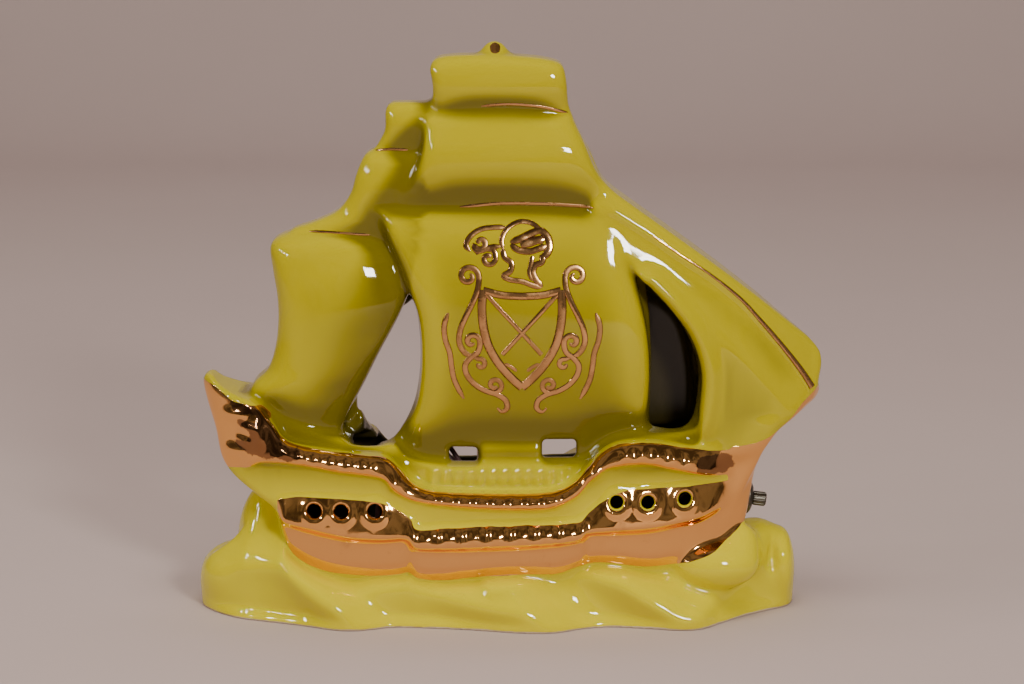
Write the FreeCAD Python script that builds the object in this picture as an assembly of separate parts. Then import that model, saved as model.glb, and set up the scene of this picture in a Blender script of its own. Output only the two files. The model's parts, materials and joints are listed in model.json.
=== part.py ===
"""Galleon television lamp: a hollow slip-cast ceramic ship with a socket, bulb and switch inside.

Row frame, millimetres: +X towards the bow, +Y towards the open back, +Z up.
The origin is the centre of the overall box at the foot rim.
"""

import math
import os

import FreeCAD, Part

Vector = FreeCAD.Vector
OUT = "parts"
X, Y, Z = Vector(1, 0, 0), Vector(0, 1, 0), Vector(0, 0, 1)

# ---------------------------------------------------------------- ceramic outlines
# An outline runs as a smooth curve from corner to corner. A point given twice is a corner.
WALL = 5.0                 # cast wall
REACH = 90.0               # half depth of a prism before its depth profile trims it
CHORD = 7.0                # length of the chords that the inside of the casting is drawn with

FOOTPRINT = [(-156.6, 6), (-153.2, -4), (-146, -15), (-134, -26), (-120, -32), (-103, -39), (-80, -48),
             (-70, -48), (-57, -43.5), (-38, -44), (-14, -48), (2, -52), (16, -53.5), (28, -51.5),
             (38, -45), (51, -42), (70, -45), (85, -48), (96, -45), (106, -34), (119, -21), (132, -10),
             (141, -2), (145.5, 9), (145, 26), (137, 40), (120, 48), (90, 52), (45, 53.5), (0, 53.5),
             (-45, 53.5), (-90, 52), (-125, 46), (-147, 34), (-156, 20)]
SWELL_TOP = 20.0           # flat top of the sea's outer swell
SWELL_STEP = 11.0          # how far the upper swell stands in from the foot
UPPER_SWELL_TOP = 28.0
STERN_WAVE = [(-139, 8), (-139, 8), (-138, 34), (-134, 46), (-127, 56), (-118, 60), (-108, 56),
              (-100, 40), (-98, 8), (-98, 8)]
BOW_WAVE = [(100, 8), (100, 8), (104, 34), (116, 41), (128, 40), (139, 36), (144, 28), (143, 18),
            (138, 8), (138, 8)]

HULL = [(-152, 118), (-149, 121.3), (-144, 118), (-135, 113), (-125, 110), (-116, 100), (-103, 90),
        (-82, 86.5), (-60, 84), (-51, 74), (-40, 68), (0, 66), (24, 68), (36, 74), (48, 85), (58, 89.5),
        (90, 90), (112, 88), (127, 92), (142, 105), (151, 113), (154.5, 110.5), (147, 101), (136, 91),
        (129, 80), (125, 68), (122.5, 56), (120, 44), (112, 31), (90, 22), (50, 18), (0, 17), (-60, 18),
        (-90, 24), (-107, 38), (-115, 54), (-125, 62), (-136, 71), (-143, 78), (-146, 90), (-150, 106)]
HULL_PLAN_HALF = [(-154, 0), (-152, -7), (-143, -18), (-125, -29), (-100, -37), (-55, -41.5),
                  (0, -42.5), (50, -41), (90, -33), (115, -20), (124, -14.5), (140, -10), (155, -6),
                  (157, 0)]
DECK = [(-128, 90), (-128, 90), (-124, 107), (-124, 107), (-110, 99), (-90, 92), (-58, 90), (-50, 84),
        (0, 81), (40, 83), (56, 93), (90, 97), (118, 99), (132, 100), (132, 100), (126, 82), (110, 50),
        (110, 50), (-100, 50), (-100, 50)]
DECK_HALF = 27.0           # half depth of the deck between the rails

MAIN_SAILS = [(-37, 276), (-34, 279.5), (-5, 280.3), (22, 278.5), (27.5, 274), (29, 262), (31, 250),
              (31, 250), (38, 238), (43, 226), (46, 214), (46, 214), (57, 198), (63, 178), (68, 158),
              (70.5, 130), (70, 105), (69, 82), (69, 62), (69, 62), (-54, 62), (-54, 62), (-53.5, 80),
              (-52, 92), (-46, 108), (-43.5, 128), (-44.5, 152), (-52, 174), (-60, 193), (-64, 204),
              (-64, 204), (-53, 213), (-46, 222), (-42, 236), (-42, 249), (-42, 249), (-37, 256),
              (-36.5, 266)]
MAIN_PROFILE = [(-19, 60), (-19, 60), (-20, 76), (-23, 90), (-28, 106), (-31.5, 130), (-31.5, 158),
                (-28, 184), (-20, 205), (-20, 205), (-24.5, 217), (-25, 234), (-17, 253), (-17, 253),
                (-18.5, 262), (-16, 276), (-14, 286), (-14, 286), (4, 286), (4, 286), (11, 260),
                (16, 215), (20, 160), (22, 60), (22, 60)]
MIZZEN_SAILS = [(-118.5, 187), (-117, 176), (-114, 162), (-113.5, 150), (-115, 137), (-119, 125),
                (-127, 114), (-127, 114), (-124, 98), (-112, 66), (-112, 66), (-84, 66), (-84, 66),
                (-80, 96), (-72, 112), (-60, 138), (-50, 160), (-44, 180), (-37, 190), (-37, 190),
                (-36, 256), (-36, 256), (-58, 256.5), (-60.5, 250), (-61, 242), (-69, 233), (-69, 233),
                (-74.5, 224), (-77, 213), (-84, 203), (-97, 197), (-110, 192)]
MIZZEN_PROFILE = [(-17, 60), (-17, 60), (-18, 84), (-22, 100), (-25, 130), (-24, 162), (-16, 193),
                  (-16, 193), (-17.5, 210), (-16.5, 222), (-12, 235), (-12, 235), (-13, 246),
                  (-10, 262), (-10, 262), (6, 262), (6, 262), (11, 220), (15, 180), (18, 60), (18, 60)]
JIB = [(42, 218), (42, 218), (52, 215.5), (66, 205), (92, 187), (118, 168), (141, 147.5), (153, 136),
       (157.3, 127), (156, 118), (152, 106), (152, 106), (136, 96), (120, 82), (120, 82), (96, 80),
       (96, 80), (94, 104), (95, 125), (90, 142), (79, 157), (66, 170), (52, 186), (40, 200), (40, 200)]
JIB_PLAN = [(36, -22), (36, -22), (70, -22), (100, -19), (130, -13), (150, -8), (157.3, -4),
            (157.3, -4), (157.3, 4), (157.3, 4), (150, 8), (130, 12), (100, 15), (70, 17), (36, 18),
            (36, 18)]
WEB = [(-84, 66), (-84, 66), (-70, 110), (-70, 110), (-60, 140), (-60, 140), (-50, 165), (-50, 165),
       (-40, 195), (-40, 195), (40, 205), (40, 205), (66, 172), (66, 172), (92, 150), (92, 150),
       (98, 120), (98, 120), (96, 76), (96, 76)]
WEB_FRONT, WEB_BACK = -14.0, 18.0
FINIAL = Vector(-6.5, -2.0, 281.0)
FINIAL_R = 5.9

STERN_WINDOW = [(-50, 161), (-50, 161), (-54, 152), (-63, 135), (-72, 115), (-79, 102), (-81, 95),
                (-78, 90), (-68, 88.5), (-58, 89.5), (-52, 97), (-46.5, 109), (-44, 125), (-43.5, 142),
                (-46, 156)]
BOW_WINDOW = [(69, 165), (69, 165), (79, 156), (89, 142), (94.5, 125), (94, 109), (91, 99), (86, 95.5),
              (74, 95.5), (71, 99), (71.5, 130)]
DECK_LIGHTS = [((-29, 79), (-15, 86.5)), ((18, 81), (34, 91))]    # two small windows under the main sail
BACK_OPENING = [(-75.5, 118), (-70, 94), (-56, 79), (-35, 73), (-8, 71.5), (20, 73), (40, 83),
                (48, 104), (46, 130), (32, 156), (8, 168), (-16, 168.5), (-40, 160), (-62, 144)]
BACK_PLANE = 5.0           # the front openings are cut up to here, and the back one from here
PORTHOLES = [(-95.3, 58.1), (-81.9, 58.2), (-65.3, 58.7), (53.5, 63.2), (68.9, 62.7), (87.3, 63.5)]
PORTHOLE_R = 2.7

# ---------------------------------------------------------------- lamp holder, on its own upright axis
LAMP = Vector(0, 2, 0)
STRIP = 1.6                # bracket strip thickness
BRACKET_WIDTH = 20.0
SHELF_Z = 58.0             # underside of the bracket's shelf
PAD_Y, PAD_BACK_Y = 38.2, 42.0       # flats on the back wall that the bracket's screw clamps
SCREW_Z = 44.0
SCREW_R = 2.0
SCREW_HOLE_R = 2.25
WASHER_R, WASHER_T = 5.0, 0.8
NIPPLE_R, NIPPLE_BORE = 4.8, 3.4
NIPPLE_LENGTH = 14.0
LOCKNUT_T = 2.4
CAP_Z = SHELF_Z + STRIP
CAP_HEIGHT = 16.0
CAP_NECK_R = 7.0
SHELL_R = 15.6
SHELL_BOTTOM = CAP_Z + 11.0
SHELL_HEIGHT = 40.0
SHEET = 0.5                # brass sheet
LINER = 0.9
CORE_R = SHELL_R - SHEET - LINER - 0.05
THREAD_R, THREAD_SHEET = 13.3, 0.35
THREAD_DEPTH = 24.0
OUTLET_Z = CAP_Z + 6.6     # side outlet of the cap
OUTLET_R = 3.9
BULB_BASE_R = 12.9
BULB_BASE_HEIGHT = 22.0
BULB_R = 17.0

# ---------------------------------------------------------------- rotary switch, its axis down a little
SWITCH_SEAT = Vector(121.3, 4.0, 55.5)
SWITCH_TILT = 7.0
SWITCH_AXIS = Vector(math.cos(math.radians(SWITCH_TILT)), 0, -math.sin(math.radians(SWITCH_TILT)))
BOSS_R, BOSS_LENGTH = 11.0, 11.0
SEAT_WALL = 5.5            # ceramic left between the two flat seats
BUSHING_R, BUSHING_BORE = 4.7, 2.5
SHAFT_R = 2.45
FLANGE_R, FLANGE_T = 8.3, 2.2
KNOB_R, KNOB_LENGTH = 3.6, 6.6
KNOB_GAP = 0.5
HOUSING_R, HOUSING_T = 9.6, 13.0
HOUSING_WALL = 1.6
LOCK_WASHER_T = 0.8

# ---------------------------------------------------------------- wiring
INLET_X, INLET_Z = -58.0, 38.0
INLET_HOLE_R, GROMMET_BORE_R, GROMMET_RIM_R = 5.0, 3.2, 7.2
GROMMET_SEAT_Y = 40.6      # flat outside the wall
GROMMET_WALL = 3.6
GROMMET_RIM = 2.0
LEAD_R = 1.2
SPLICE_R, SPLICE_LENGTH = 4.4, 17.0
SPLICE_BORE = 1.25


# ---------------------------------------------------------------- small tools
def strands(points):
    """The edges round a closed outline: smooth between corners, straight where two corners meet."""
    points = [Vector(*p) for p in points]
    corners = [i for i in range(len(points)) if points[i] == points[i - 1]]
    if not corners:
        curve = Part.BSplineCurve()
        curve.interpolate(points, PeriodicFlag=True)
        return [curve.toShape()]
    points = points[corners[0]:] + points[:corners[0]]
    breaks = [i for i in range(len(points)) if points[i] == points[i - 1]] + [len(points)]
    edges = []
    for first, last in zip(breaks, breaks[1:]):
        strand = points[first:last]
        if last == len(points) and strand[-1] != points[0]:
            strand.append(points[0])
        if len(strand) == 2:
            edges.append(Part.makeLine(strand[0], strand[1]))
        elif len(strand) > 2:
            curve = Part.BSplineCurve()
            curve.interpolate(strand)
            edges.append(curve.toShape())
    return edges


def inset_face(points, by):
    """The face inside an outline, pulled in by a distance and drawn there in short straight chords."""
    edges = strands(points)
    if by <= 0:
        return Part.Face(Part.Wire(edges))
    corners = []
    for edge in edges:
        curved = edge.Curve.TypeId == "Part::GeomBSplineCurve"
        chords = max(1, round(edge.Length / CHORD)) if curved else 1
        corners += edge.discretize(Number=chords + 1)[:-1]
    face = Part.Face(Part.makePolygon(corners + corners[:1]))
    inner = face.makeOffset2D(-by)
    return max(inner.Faces, key=lambda f: f.Area)


def front_prism(outline, y0=-REACH, y1=REACH, by=0.0):
    """An XZ outline pushed through along Y."""
    return inset_face([(x, y0, z) for x, z in outline], by).extrude(Vector(0, y1 - y0, 0))


def side_prism(outline, by=0.0):
    """A YZ outline pushed through along X."""
    return inset_face([(-200, y, z) for y, z in outline], by).extrude(Vector(400, 0, 0))


def plan_prism(outline, z0, z1, by=0.0):
    """An XY outline pushed up along Z."""
    return inset_face([(x, y, z0) for x, y in outline], by).extrude(Vector(0, 0, z1 - z0))


def mirrored(half):
    """A plan drawn for the front half, closed by its mirror image."""
    return half + [(x, -y) for x, y in reversed(half[1:-1])]


def cylinder(r, height, base, axis=Z):
    return Part.makeCylinder(r, height, base, axis)


def tube(r_out, r_in, height, base, axis=Z):
    return cylinder(r_out, height, base, axis).cut(cylinder(r_in, height, base, axis))


def block(lo, hi):
    return Part.makeBox(hi[0] - lo[0], hi[1] - lo[1], hi[2] - lo[2], Vector(*lo))


def placed(shape, base, axis=Z):
    shape.Placement = FreeCAD.Placement(base, FreeCAD.Rotation(Z, axis))
    return shape


def turned(profile, base, axis=Z):
    """A closed radius/height profile turned about an axis through base."""
    points = [Vector(r, 0, h) for r, h in profile]
    face = Part.Face(Part.makePolygon(points + points[:1]))
    return placed(face.revolve(Vector(0, 0, 0), Z, 360), base, axis)


def hexagon(across_flats, thickness, base, axis=Z):
    radius = across_flats / math.sqrt(3)
    corners = [Vector(radius * math.cos(math.radians(60 * k)), radius * math.sin(math.radians(60 * k)), 0)
               for k in range(7)]
    return placed(Part.Face(Part.makePolygon(corners)).extrude(Z * thickness), base, axis)


def fused(shapes):
    return shapes[0].multiFuse(shapes[1:]).removeSplitter()


def save(name, *solids):
    shape = solids[0] if len(solids) == 1 else Part.makeCompound(list(solids))
    for solid in shape.Solids:
        assert solid.isValid() and solid.Volume > 0, name
    shape.exportStep(os.path.join(OUT, name + ".step"))
    box = shape.BoundBox
    size = " ".join(f"{v:7.1f}" for v in (box.XMin, box.XMax, box.YMin, box.YMax, box.ZMin, box.ZMax))
    print(f"{name:24s} solids {len(shape.Solids)}  {shape.Volume / 1000:8.3f} cm3  {size}", flush=True)


def on_lamp(height):
    """A point on the lamp holder's axis at a height above the table."""
    return Vector(LAMP.x, LAMP.y, height)


def on_switch(distance):
    """A point on the switch axis, measured out from its outer seat."""
    return SWITCH_SEAT + SWITCH_AXIS * distance


# ---------------------------------------------------------------- ceramic
def ship_mass(by=0.0):
    """The ship as a solid mass. With by > 0 it is the cavity that leaves a wall that thick."""
    low = -10 if by else 0
    parts = [
        plan_prism(FOOTPRINT, low, SWELL_TOP - by, by),
        plan_prism(FOOTPRINT, low, UPPER_SWELL_TOP - by, SWELL_STEP + by),
        front_prism(HULL, by=by).common(plan_prism(mirrored(HULL_PLAN_HALF), -20, 200, by)),
        front_prism(DECK, by - DECK_HALF, DECK_HALF - by, by),
        front_prism(MAIN_SAILS, by=by).common(side_prism(MAIN_PROFILE, by)),
        front_prism(MIZZEN_SAILS, by=by).common(side_prism(MIZZEN_PROFILE, by)),
        front_prism(JIB, by=by).common(plan_prism(JIB_PLAN, -20, 300, by)),
        front_prism(WEB, WEB_FRONT + by, WEB_BACK - by, by),
    ]
    if not by:
        parts += [
            front_prism(STERN_WAVE, -16, 30),
            front_prism(BOW_WAVE, -2, 30),
            Part.makeSphere(FINIAL_R, FINIAL),
            cylinder(BOSS_R, BOSS_LENGTH, on_switch(-BOSS_LENGTH), SWITCH_AXIS),
        ]
    return fused(parts)


def ceramic_openings():
    """Everything that is cut through the cast wall."""
    inlet = Vector(INLET_X, 0, INLET_Z)
    back = Y * -1
    cuts = [
        front_prism(STERN_WINDOW, -REACH, BACK_PLANE),
        front_prism(BOW_WINDOW, -REACH, BACK_PLANE),
        front_prism(BACK_OPENING, BACK_PLANE, REACH),
        block((LAMP.x - 13, PAD_Y - 12, SCREW_Z - 11), (LAMP.x + 13, PAD_Y, SHELF_Z + 8)),
        cylinder(SCREW_HOLE_R, 20, Vector(LAMP.x, 30, SCREW_Z), Y),
        cylinder(WASHER_R + 2, 20, Vector(LAMP.x, PAD_BACK_Y, SCREW_Z), Y),
        cylinder(BUSHING_R + 0.4, 40, on_switch(-30), SWITCH_AXIS),
        cylinder(FLANGE_R + 1.2, 12, on_switch(0), SWITCH_AXIS),
        cylinder(HOUSING_R + 1.2, 24, on_switch(-SEAT_WALL), SWITCH_AXIS * -1),
        cylinder(INLET_HOLE_R, 30, inlet + Y * 25, Y),
        cylinder(GROMMET_RIM_R + 1, 20, inlet + Y * GROMMET_SEAT_Y, Y),
        cylinder(GROMMET_RIM_R + 1, 20, inlet + Y * (GROMMET_SEAT_Y - GROMMET_WALL), back),
    ]
    cuts += [block((lo[0], -REACH, lo[1]), (hi[0], BACK_PLANE, hi[1])) for lo, hi in DECK_LIGHTS]
    cuts += [cylinder(PORTHOLE_R, REACH - 20, Vector(x, -REACH, z), Y) for x, z in PORTHOLES]
    return cuts


def ceramic_ship():
    body = ship_mass().cut(ship_mass(WALL)).cut(ceramic_openings())
    return max(body.Solids, key=lambda s: s.Volume)


# ---------------------------------------------------------------- lamp holder
def socket_bracket():
    half = BRACKET_WIDTH / 2
    leg = block((-half, PAD_Y - STRIP, SCREW_Z - 8), (half, PAD_Y, SHELF_Z + STRIP))
    shelf = block((-half, LAMP.y - half, SHELF_Z), (half, PAD_Y, SHELF_Z + STRIP))
    bracket = fused([leg, shelf])
    bracket = bracket.cut(cylinder(NIPPLE_R + 0.05, 10, on_lamp(SHELF_Z - 4)))
    return bracket.cut(cylinder(SCREW_R + 0.15, 10, Vector(0, PAD_Y - 5, SCREW_Z), Y))


def bracket_screw():
    outside = PAD_BACK_Y + WASHER_T
    seat = Vector(0, outside, SCREW_Z)
    head = turned([(0, 0), (3.8, 0), (3.8, 1.0), (3.0, 2.1), (1.6, 2.7), (0, 2.8)], seat, Y)
    head = head.cut(block((-5, outside + 1.7, SCREW_Z - 0.45), (5, outside + 4, SCREW_Z + 0.45)))
    length = outside - (PAD_Y - STRIP - WASHER_T - 5.2)
    return fused([head, cylinder(SCREW_R, length, seat, Y * -1)])


def bracket_nut():
    face = Vector(0, PAD_Y - STRIP - WASHER_T, SCREW_Z)
    nut = hexagon(7.0, 3.2, face, Y * -1)
    return nut.cut(cylinder(SCREW_R, 10, face + Y, Y * -1))


def screw_washers():
    outer = tube(WASHER_R, SCREW_R + 0.1, WASHER_T, Vector(0, PAD_BACK_Y, SCREW_Z), Y)
    inner = tube(WASHER_R, SCREW_R + 0.1, WASHER_T, Vector(0, PAD_Y - STRIP - WASHER_T, SCREW_Z), Y)
    return outer, inner


def threaded_nipple():
    return tube(NIPPLE_R, NIPPLE_BORE, NIPPLE_LENGTH, on_lamp(SHELF_Z - LOCKNUT_T - 2.6))


def nipple_locknut():
    nut = hexagon(14.0, LOCKNUT_T, on_lamp(SHELF_Z - LOCKNUT_T))
    return nut.cut(cylinder(NIPPLE_R, 10, on_lamp(SHELF_Z - 6)))


def socket_cap():
    """The cup that the nipple screws into, with a side outlet for the leads."""
    rim = SHELL_R - SHEET - 0.05
    outer = [(CAP_NECK_R, 0), (CAP_NECK_R, 2.5), (10.5, 4.0), (13.6, 7.0), (rim, 11.0), (rim, CAP_HEIGHT)]
    inner = [(r - SHEET * 1.2, h + (SHEET if h < 11 else 0)) for r, h in reversed(outer)]
    inner[-1] = (NIPPLE_R, SHEET + 1.5)
    cup = turned(outer + inner + [(NIPPLE_R, 0)], on_lamp(CAP_Z))
    return cup.cut(cylinder(OUTLET_R, 30, on_lamp(OUTLET_Z), X * -1))


def outlet_bush():
    """The fibre bush that lines the side outlet."""
    bush = tube(OUTLET_R - 0.05, OUTLET_R - 0.9, 30, on_lamp(OUTLET_Z), X * -1)
    return bush.common(tube(16.2, 12.4, 30, on_lamp(OUTLET_Z - 15)))


def socket_shell():
    top = SHELL_BOTTOM + SHELL_HEIGHT
    shell = tube(SHELL_R, SHELL_R - SHEET, SHELL_HEIGHT, on_lamp(SHELL_BOTTOM))
    bead = Part.makeTorus(SHELL_R - 0.3, 0.9, on_lamp(top - 1.0), Z)
    bead = bead.cut(cylinder(SHELL_R - SHEET, 10, on_lamp(top - 6)))
    return fused([shell, bead])


def shell_liner():
    outer = SHELL_R - SHEET - 0.02
    bottom = CAP_Z + CAP_HEIGHT + 0.3
    top = SHELL_BOTTOM + SHELL_HEIGHT - 1.7
    return tube(outer, outer - LINER, top - bottom, on_lamp(bottom))


def socket_core():
    """The moulded block that carries the contacts, hollow above for the screw shell."""
    bottom = CAP_Z + CAP_HEIGHT - 2.0
    block_height = 12.0
    core = cylinder(CORE_R - 0.7, block_height, on_lamp(bottom))
    core = core.cut(cylinder(2.6, 30, on_lamp(bottom - 5) + X * -7.5))
    core = core.cut(cylinder(2.6, 30, on_lamp(bottom - 5) + X * 7.5))
    return core.cut(cylinder(1.6, 3.0, on_lamp(bottom + block_height - 3.0)))


def screw_shell():
    """The threaded sleeve that the bulb's base turns in, with rolled threads drawn as rounds."""
    bottom = CAP_Z + CAP_HEIGHT + 10.02
    wall_out = THREAD_R + THREAD_SHEET
    floor = tube(wall_out, 6.5, THREAD_SHEET, on_lamp(bottom))
    return fused([tube(wall_out, THREAD_R, THREAD_DEPTH, on_lamp(bottom)), floor])


def centre_contact():
    bottom = CAP_Z + CAP_HEIGHT + 7.0
    post = cylinder(1.5, 3.3, on_lamp(bottom))
    leaf = turned([(0, 0), (4.6, 0), (5.2, 0.6), (3.4, 0.9), (2.2, 2.0), (0, 2.2)], on_lamp(bottom + 3.05))
    return fused([post, leaf])


def terminal_screws():
    bottom = CAP_Z + CAP_HEIGHT - 2.0
    screws = []
    for side in (-1, 1):
        face = on_lamp(bottom) + Y * side * 8.0
        head = cylinder(2.6, 1.6, face, Z * -1)
        slot = block((face.x - 3, face.y - 0.35, bottom - 2), (face.x + 3, face.y + 0.35, bottom - 0.9))
        screws.append(head.cut(slot))
    return screws


# ---------------------------------------------------------------- bulb
BULB_Z = CAP_Z + CAP_HEIGHT + 12.6         # tip of the bulb's centre contact


def bulb_base():
    base = Vector(LAMP.x, LAMP.y, BULB_Z + 2.6)
    rings = [(BULB_BASE_R - 3.2, 0), (BULB_BASE_R - 0.9, 1.6)]
    turns = 5
    pitch = 3.4
    for k in range(turns):
        low = 2.2 + k * pitch
        rings += [(BULB_BASE_R - 0.9, low), (BULB_BASE_R, low + 0.9), (BULB_BASE_R, low + 1.7),
                  (BULB_BASE_R - 0.9, low + 2.6)]
    rings += [(BULB_BASE_R - 0.9, BULB_BASE_HEIGHT - 1.5), (BULB_BASE_R - 0.2, BULB_BASE_HEIGHT)]
    inner = [(BULB_BASE_R - 0.7, BULB_BASE_HEIGHT), (BULB_BASE_R - 1.4, BULB_BASE_HEIGHT - 3),
             (BULB_BASE_R - 1.4, 2.2), (BULB_BASE_R - 3.4, 0.6), (BULB_BASE_R - 3.6, 0)]
    return turned(rings + inner, base)


def bulb_insulator():
    base = Vector(LAMP.x, LAMP.y, BULB_Z + 0.9)
    return turned([(2.3, 0), (3.2, 0), (BULB_BASE_R - 3.3, 1.7), (BULB_BASE_R - 3.65, 1.7),
                   (BULB_BASE_R - 3.65, 2.6), (2.3, 2.6)], base)


def bulb_tip_contact():
    return turned([(0, 0), (1.8, 0.3), (2.28, 1.0), (2.28, 3.2), (0, 3.2)], on_lamp(BULB_Z))


def bulb_outline(grow):
    """Half the envelope's section, from its neck to its crown."""
    neck = 11.3 + grow
    return [Vector(neck, 0, 0), Vector(neck + 0.6, 0, 6), Vector(BULB_R - 2.2 + grow, 0, 16),
            Vector(BULB_R + grow, 0, 26), Vector(BULB_R - 4.0 + grow * 0.9, 0, 36.5),
            Vector(0, 0, 41.2 + grow)]


def bulb_solid(grow, drop):
    curve = Part.BSplineCurve()
    points = bulb_outline(grow)
    curve.interpolate(points, InitialTangent=Vector(0, 0, 1), FinalTangent=Vector(-1, 0, 0))
    low = Vector(points[0].x, 0, -drop)
    bottom = Vector(0, 0, -drop)
    edges = [Part.makeLine(bottom, low), Part.makeLine(low, points[0]), curve.toShape(),
             Part.makeLine(points[-1], bottom)]
    return Part.Face(Part.Wire(edges)).revolve(Vector(0, 0, 0), Z, 360)


def bulb_glass():
    """The envelope: its neck goes down into the base."""
    base = Vector(LAMP.x, LAMP.y, BULB_Z + BULB_BASE_HEIGHT - 1.0)
    glass = bulb_solid(0.0, 8.0).cut(bulb_solid(-0.9, 9.0))
    return placed(glass, base)


def bulb_mount():
    """The glass stem that seals the neck and holds the filament."""
    base = Vector(LAMP.x, LAMP.y, BULB_Z + BULB_BASE_HEIGHT - 9.0)
    stem = [(0, 0), (10.3, 0), (10.3, 1.2), (4.0, 6.0), (2.6, 14.0), (1.4, 20.0), (1.8, 22.0), (0, 22.4)]
    return turned(stem, base)


def bulb_filament():
    """The coil on its two posts, drawn as one arch of wire."""
    seat = BULB_Z + BULB_BASE_HEIGHT + 5.5
    rise = seat + 17.0
    span = 8.0
    posts = []
    for side in (-1, 1):
        foot = on_lamp(seat) + X * side * 1.6
        top = on_lamp(rise) + X * side * span
        posts.append(cylinder(0.35, foot.distanceToPoint(top), foot, top - foot))
        posts.append(Part.makeSphere(0.6, top))
    ring = Part.makeTorus(span, 0.4, on_lamp(rise), Z)
    coil = ring.common(block((-9, LAMP.y, rise - 1), (9, LAMP.y + 10, rise + 1)))
    return fused(posts + [coil])


# ---------------------------------------------------------------- switch
def switch_housing():
    """The moulded drum behind the wall, open only where the shaft goes in."""
    face = on_switch(-SEAT_WALL - LOCK_WASHER_T)
    inward = SWITCH_AXIS * -1
    drum = cylinder(HOUSING_R, HOUSING_T, face, inward)
    floor = face + inward * HOUSING_WALL
    drum = drum.cut(cylinder(HOUSING_R - HOUSING_WALL, HOUSING_T - 2 * HOUSING_WALL, floor, inward))
    drum = drum.cut(cylinder(BUSHING_R - 0.6, HOUSING_WALL + 1, face - inward, inward))
    back = face + inward * (HOUSING_T + 1)
    for side in (-1, 1):
        drum = drum.cut(cylinder(LEAD_R + 0.1, HOUSING_WALL + 3, back + Y * side * 4.5, SWITCH_AXIS))
    return drum


def switch_bushing():
    """The threaded neck that clamps the switch to the wall."""
    start = -SEAT_WALL - LOCK_WASHER_T - HOUSING_WALL
    length = -start + FLANGE_T + 0.2
    neck = tube(BUSHING_R - 0.65, BUSHING_BORE, length, on_switch(start), SWITCH_AXIS)
    collar = tube(BUSHING_R, BUSHING_BORE, -start - HOUSING_WALL + FLANGE_T - 0.3,
                  on_switch(start + HOUSING_WALL + 0.02), SWITCH_AXIS)
    return fused([neck, collar])


def switch_lock_washer():
    base = on_switch(-SEAT_WALL - LOCK_WASHER_T + 0.02)
    return tube(HOUSING_R - 1.0, BUSHING_R + 0.1, LOCK_WASHER_T - 0.04, base, SWITCH_AXIS)


def switch_ring_nut():
    """The domed round nut outside the bow."""
    dome = [(BUSHING_R, 0), (FLANGE_R, 0), (FLANGE_R, 0.5), (FLANGE_R - 0.9, 1.3),
            (FLANGE_R - 2.6, FLANGE_T), (BUSHING_R, FLANGE_T)]
    return turned(dome, on_switch(0), SWITCH_AXIS)


def switch_shaft():
    start = -SEAT_WALL - LOCK_WASHER_T - HOUSING_T + HOUSING_WALL + 1.0
    end = FLANGE_T + KNOB_GAP + KNOB_LENGTH - 1.5
    return cylinder(SHAFT_R, end - start, on_switch(start), SWITCH_AXIS)


def switch_knob():
    """A fluted turn knob, bored for the shaft."""
    base = on_switch(FLANGE_T + KNOB_GAP)
    knob = turned([(0, 0), (KNOB_R - 0.3, 0), (KNOB_R, 0.5), (KNOB_R, KNOB_LENGTH - 0.8),
                   (KNOB_R - 0.7, KNOB_LENGTH), (0, KNOB_LENGTH)], base, SWITCH_AXIS)
    flutes = 12
    cuts = []
    side = Y
    up = SWITCH_AXIS.cross(Y)
    for k in range(flutes):
        turn = 2 * math.pi * k / flutes
        offset = (side * math.cos(turn) + up * math.sin(turn)) * (KNOB_R + 0.15)
        cuts.append(cylinder(0.5, KNOB_LENGTH, base + offset, SWITCH_AXIS))
    bore = cylinder(SHAFT_R, KNOB_LENGTH - 1.5, base, SWITCH_AXIS)
    return knob.cut(cuts + [bore])


def switch_rotor():
    """The insulated cam on the shaft that makes and breaks."""
    base = on_switch(-SEAT_WALL - LOCK_WASHER_T - HOUSING_T + HOUSING_WALL + 2.5)
    disc = tube(5.6, SHAFT_R, 4.0, base, SWITCH_AXIS)
    return disc.cut(cylinder(2.0, 6, base - SWITCH_AXIS + Y * 6.4, SWITCH_AXIS))


def switch_contacts():
    """Two spring blades on the drum's inner wall, clear of the cam."""
    base = on_switch(-SEAT_WALL - LOCK_WASHER_T - HOUSING_T + HOUSING_WALL)
    return [cylinder(1.0, 7.0, base + Y * side * 6.95, SWITCH_AXIS) for side in (-1, 1)]


# ---------------------------------------------------------------- wiring
def lead(name, points):
    """A round lead: straight runs joined by the largest tangent arcs that fit."""
    points = [Vector(*p) for p in points]
    radii = []
    edges = []
    start = points[0]
    for before, corner, after in zip(points, points[1:], points[2:]):
        run_in, run_out = corner - before, after - corner
        turn = run_in.getAngle(run_out)
        reach = 0.45 * min(run_in.Length, run_out.Length)
        radii.append(reach / math.tan(turn / 2))
        first = corner - run_in.normalize() * reach
        last = corner + run_out.normalize() * reach
        middle_way = (first + last) * 0.5 - corner
        rise = radii[-1] / math.cos(turn / 2) - radii[-1]
        middle = corner + middle_way.normalize() * rise
        edges += [Part.makeLine(start, first), Part.Arc(first, middle, last).toShape()]
        start = last
    edges.append(Part.makeLine(start, points[-1]))
    path = Part.Wire(edges)
    section = Part.Wire(Part.makeCircle(LEAD_R, points[0], points[1] - points[0]))
    body = path.makePipeShell([section], True, False)
    ideal = math.pi * LEAD_R ** 2 * path.Length
    bends = " ".join(f"{r:.0f}" for r in radii)
    print(f"{name}: length {path.Length:.0f}  radii {bends}  volume ratio {body.Volume / ideal:.4f}")
    return body


def switch_back(side):
    """Where a lead goes into the back of the switch housing."""
    return on_switch(-SEAT_WALL - LOCK_WASHER_T - HOUSING_T + HOUSING_WALL + 0.3) + Y * side * 4.5


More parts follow.
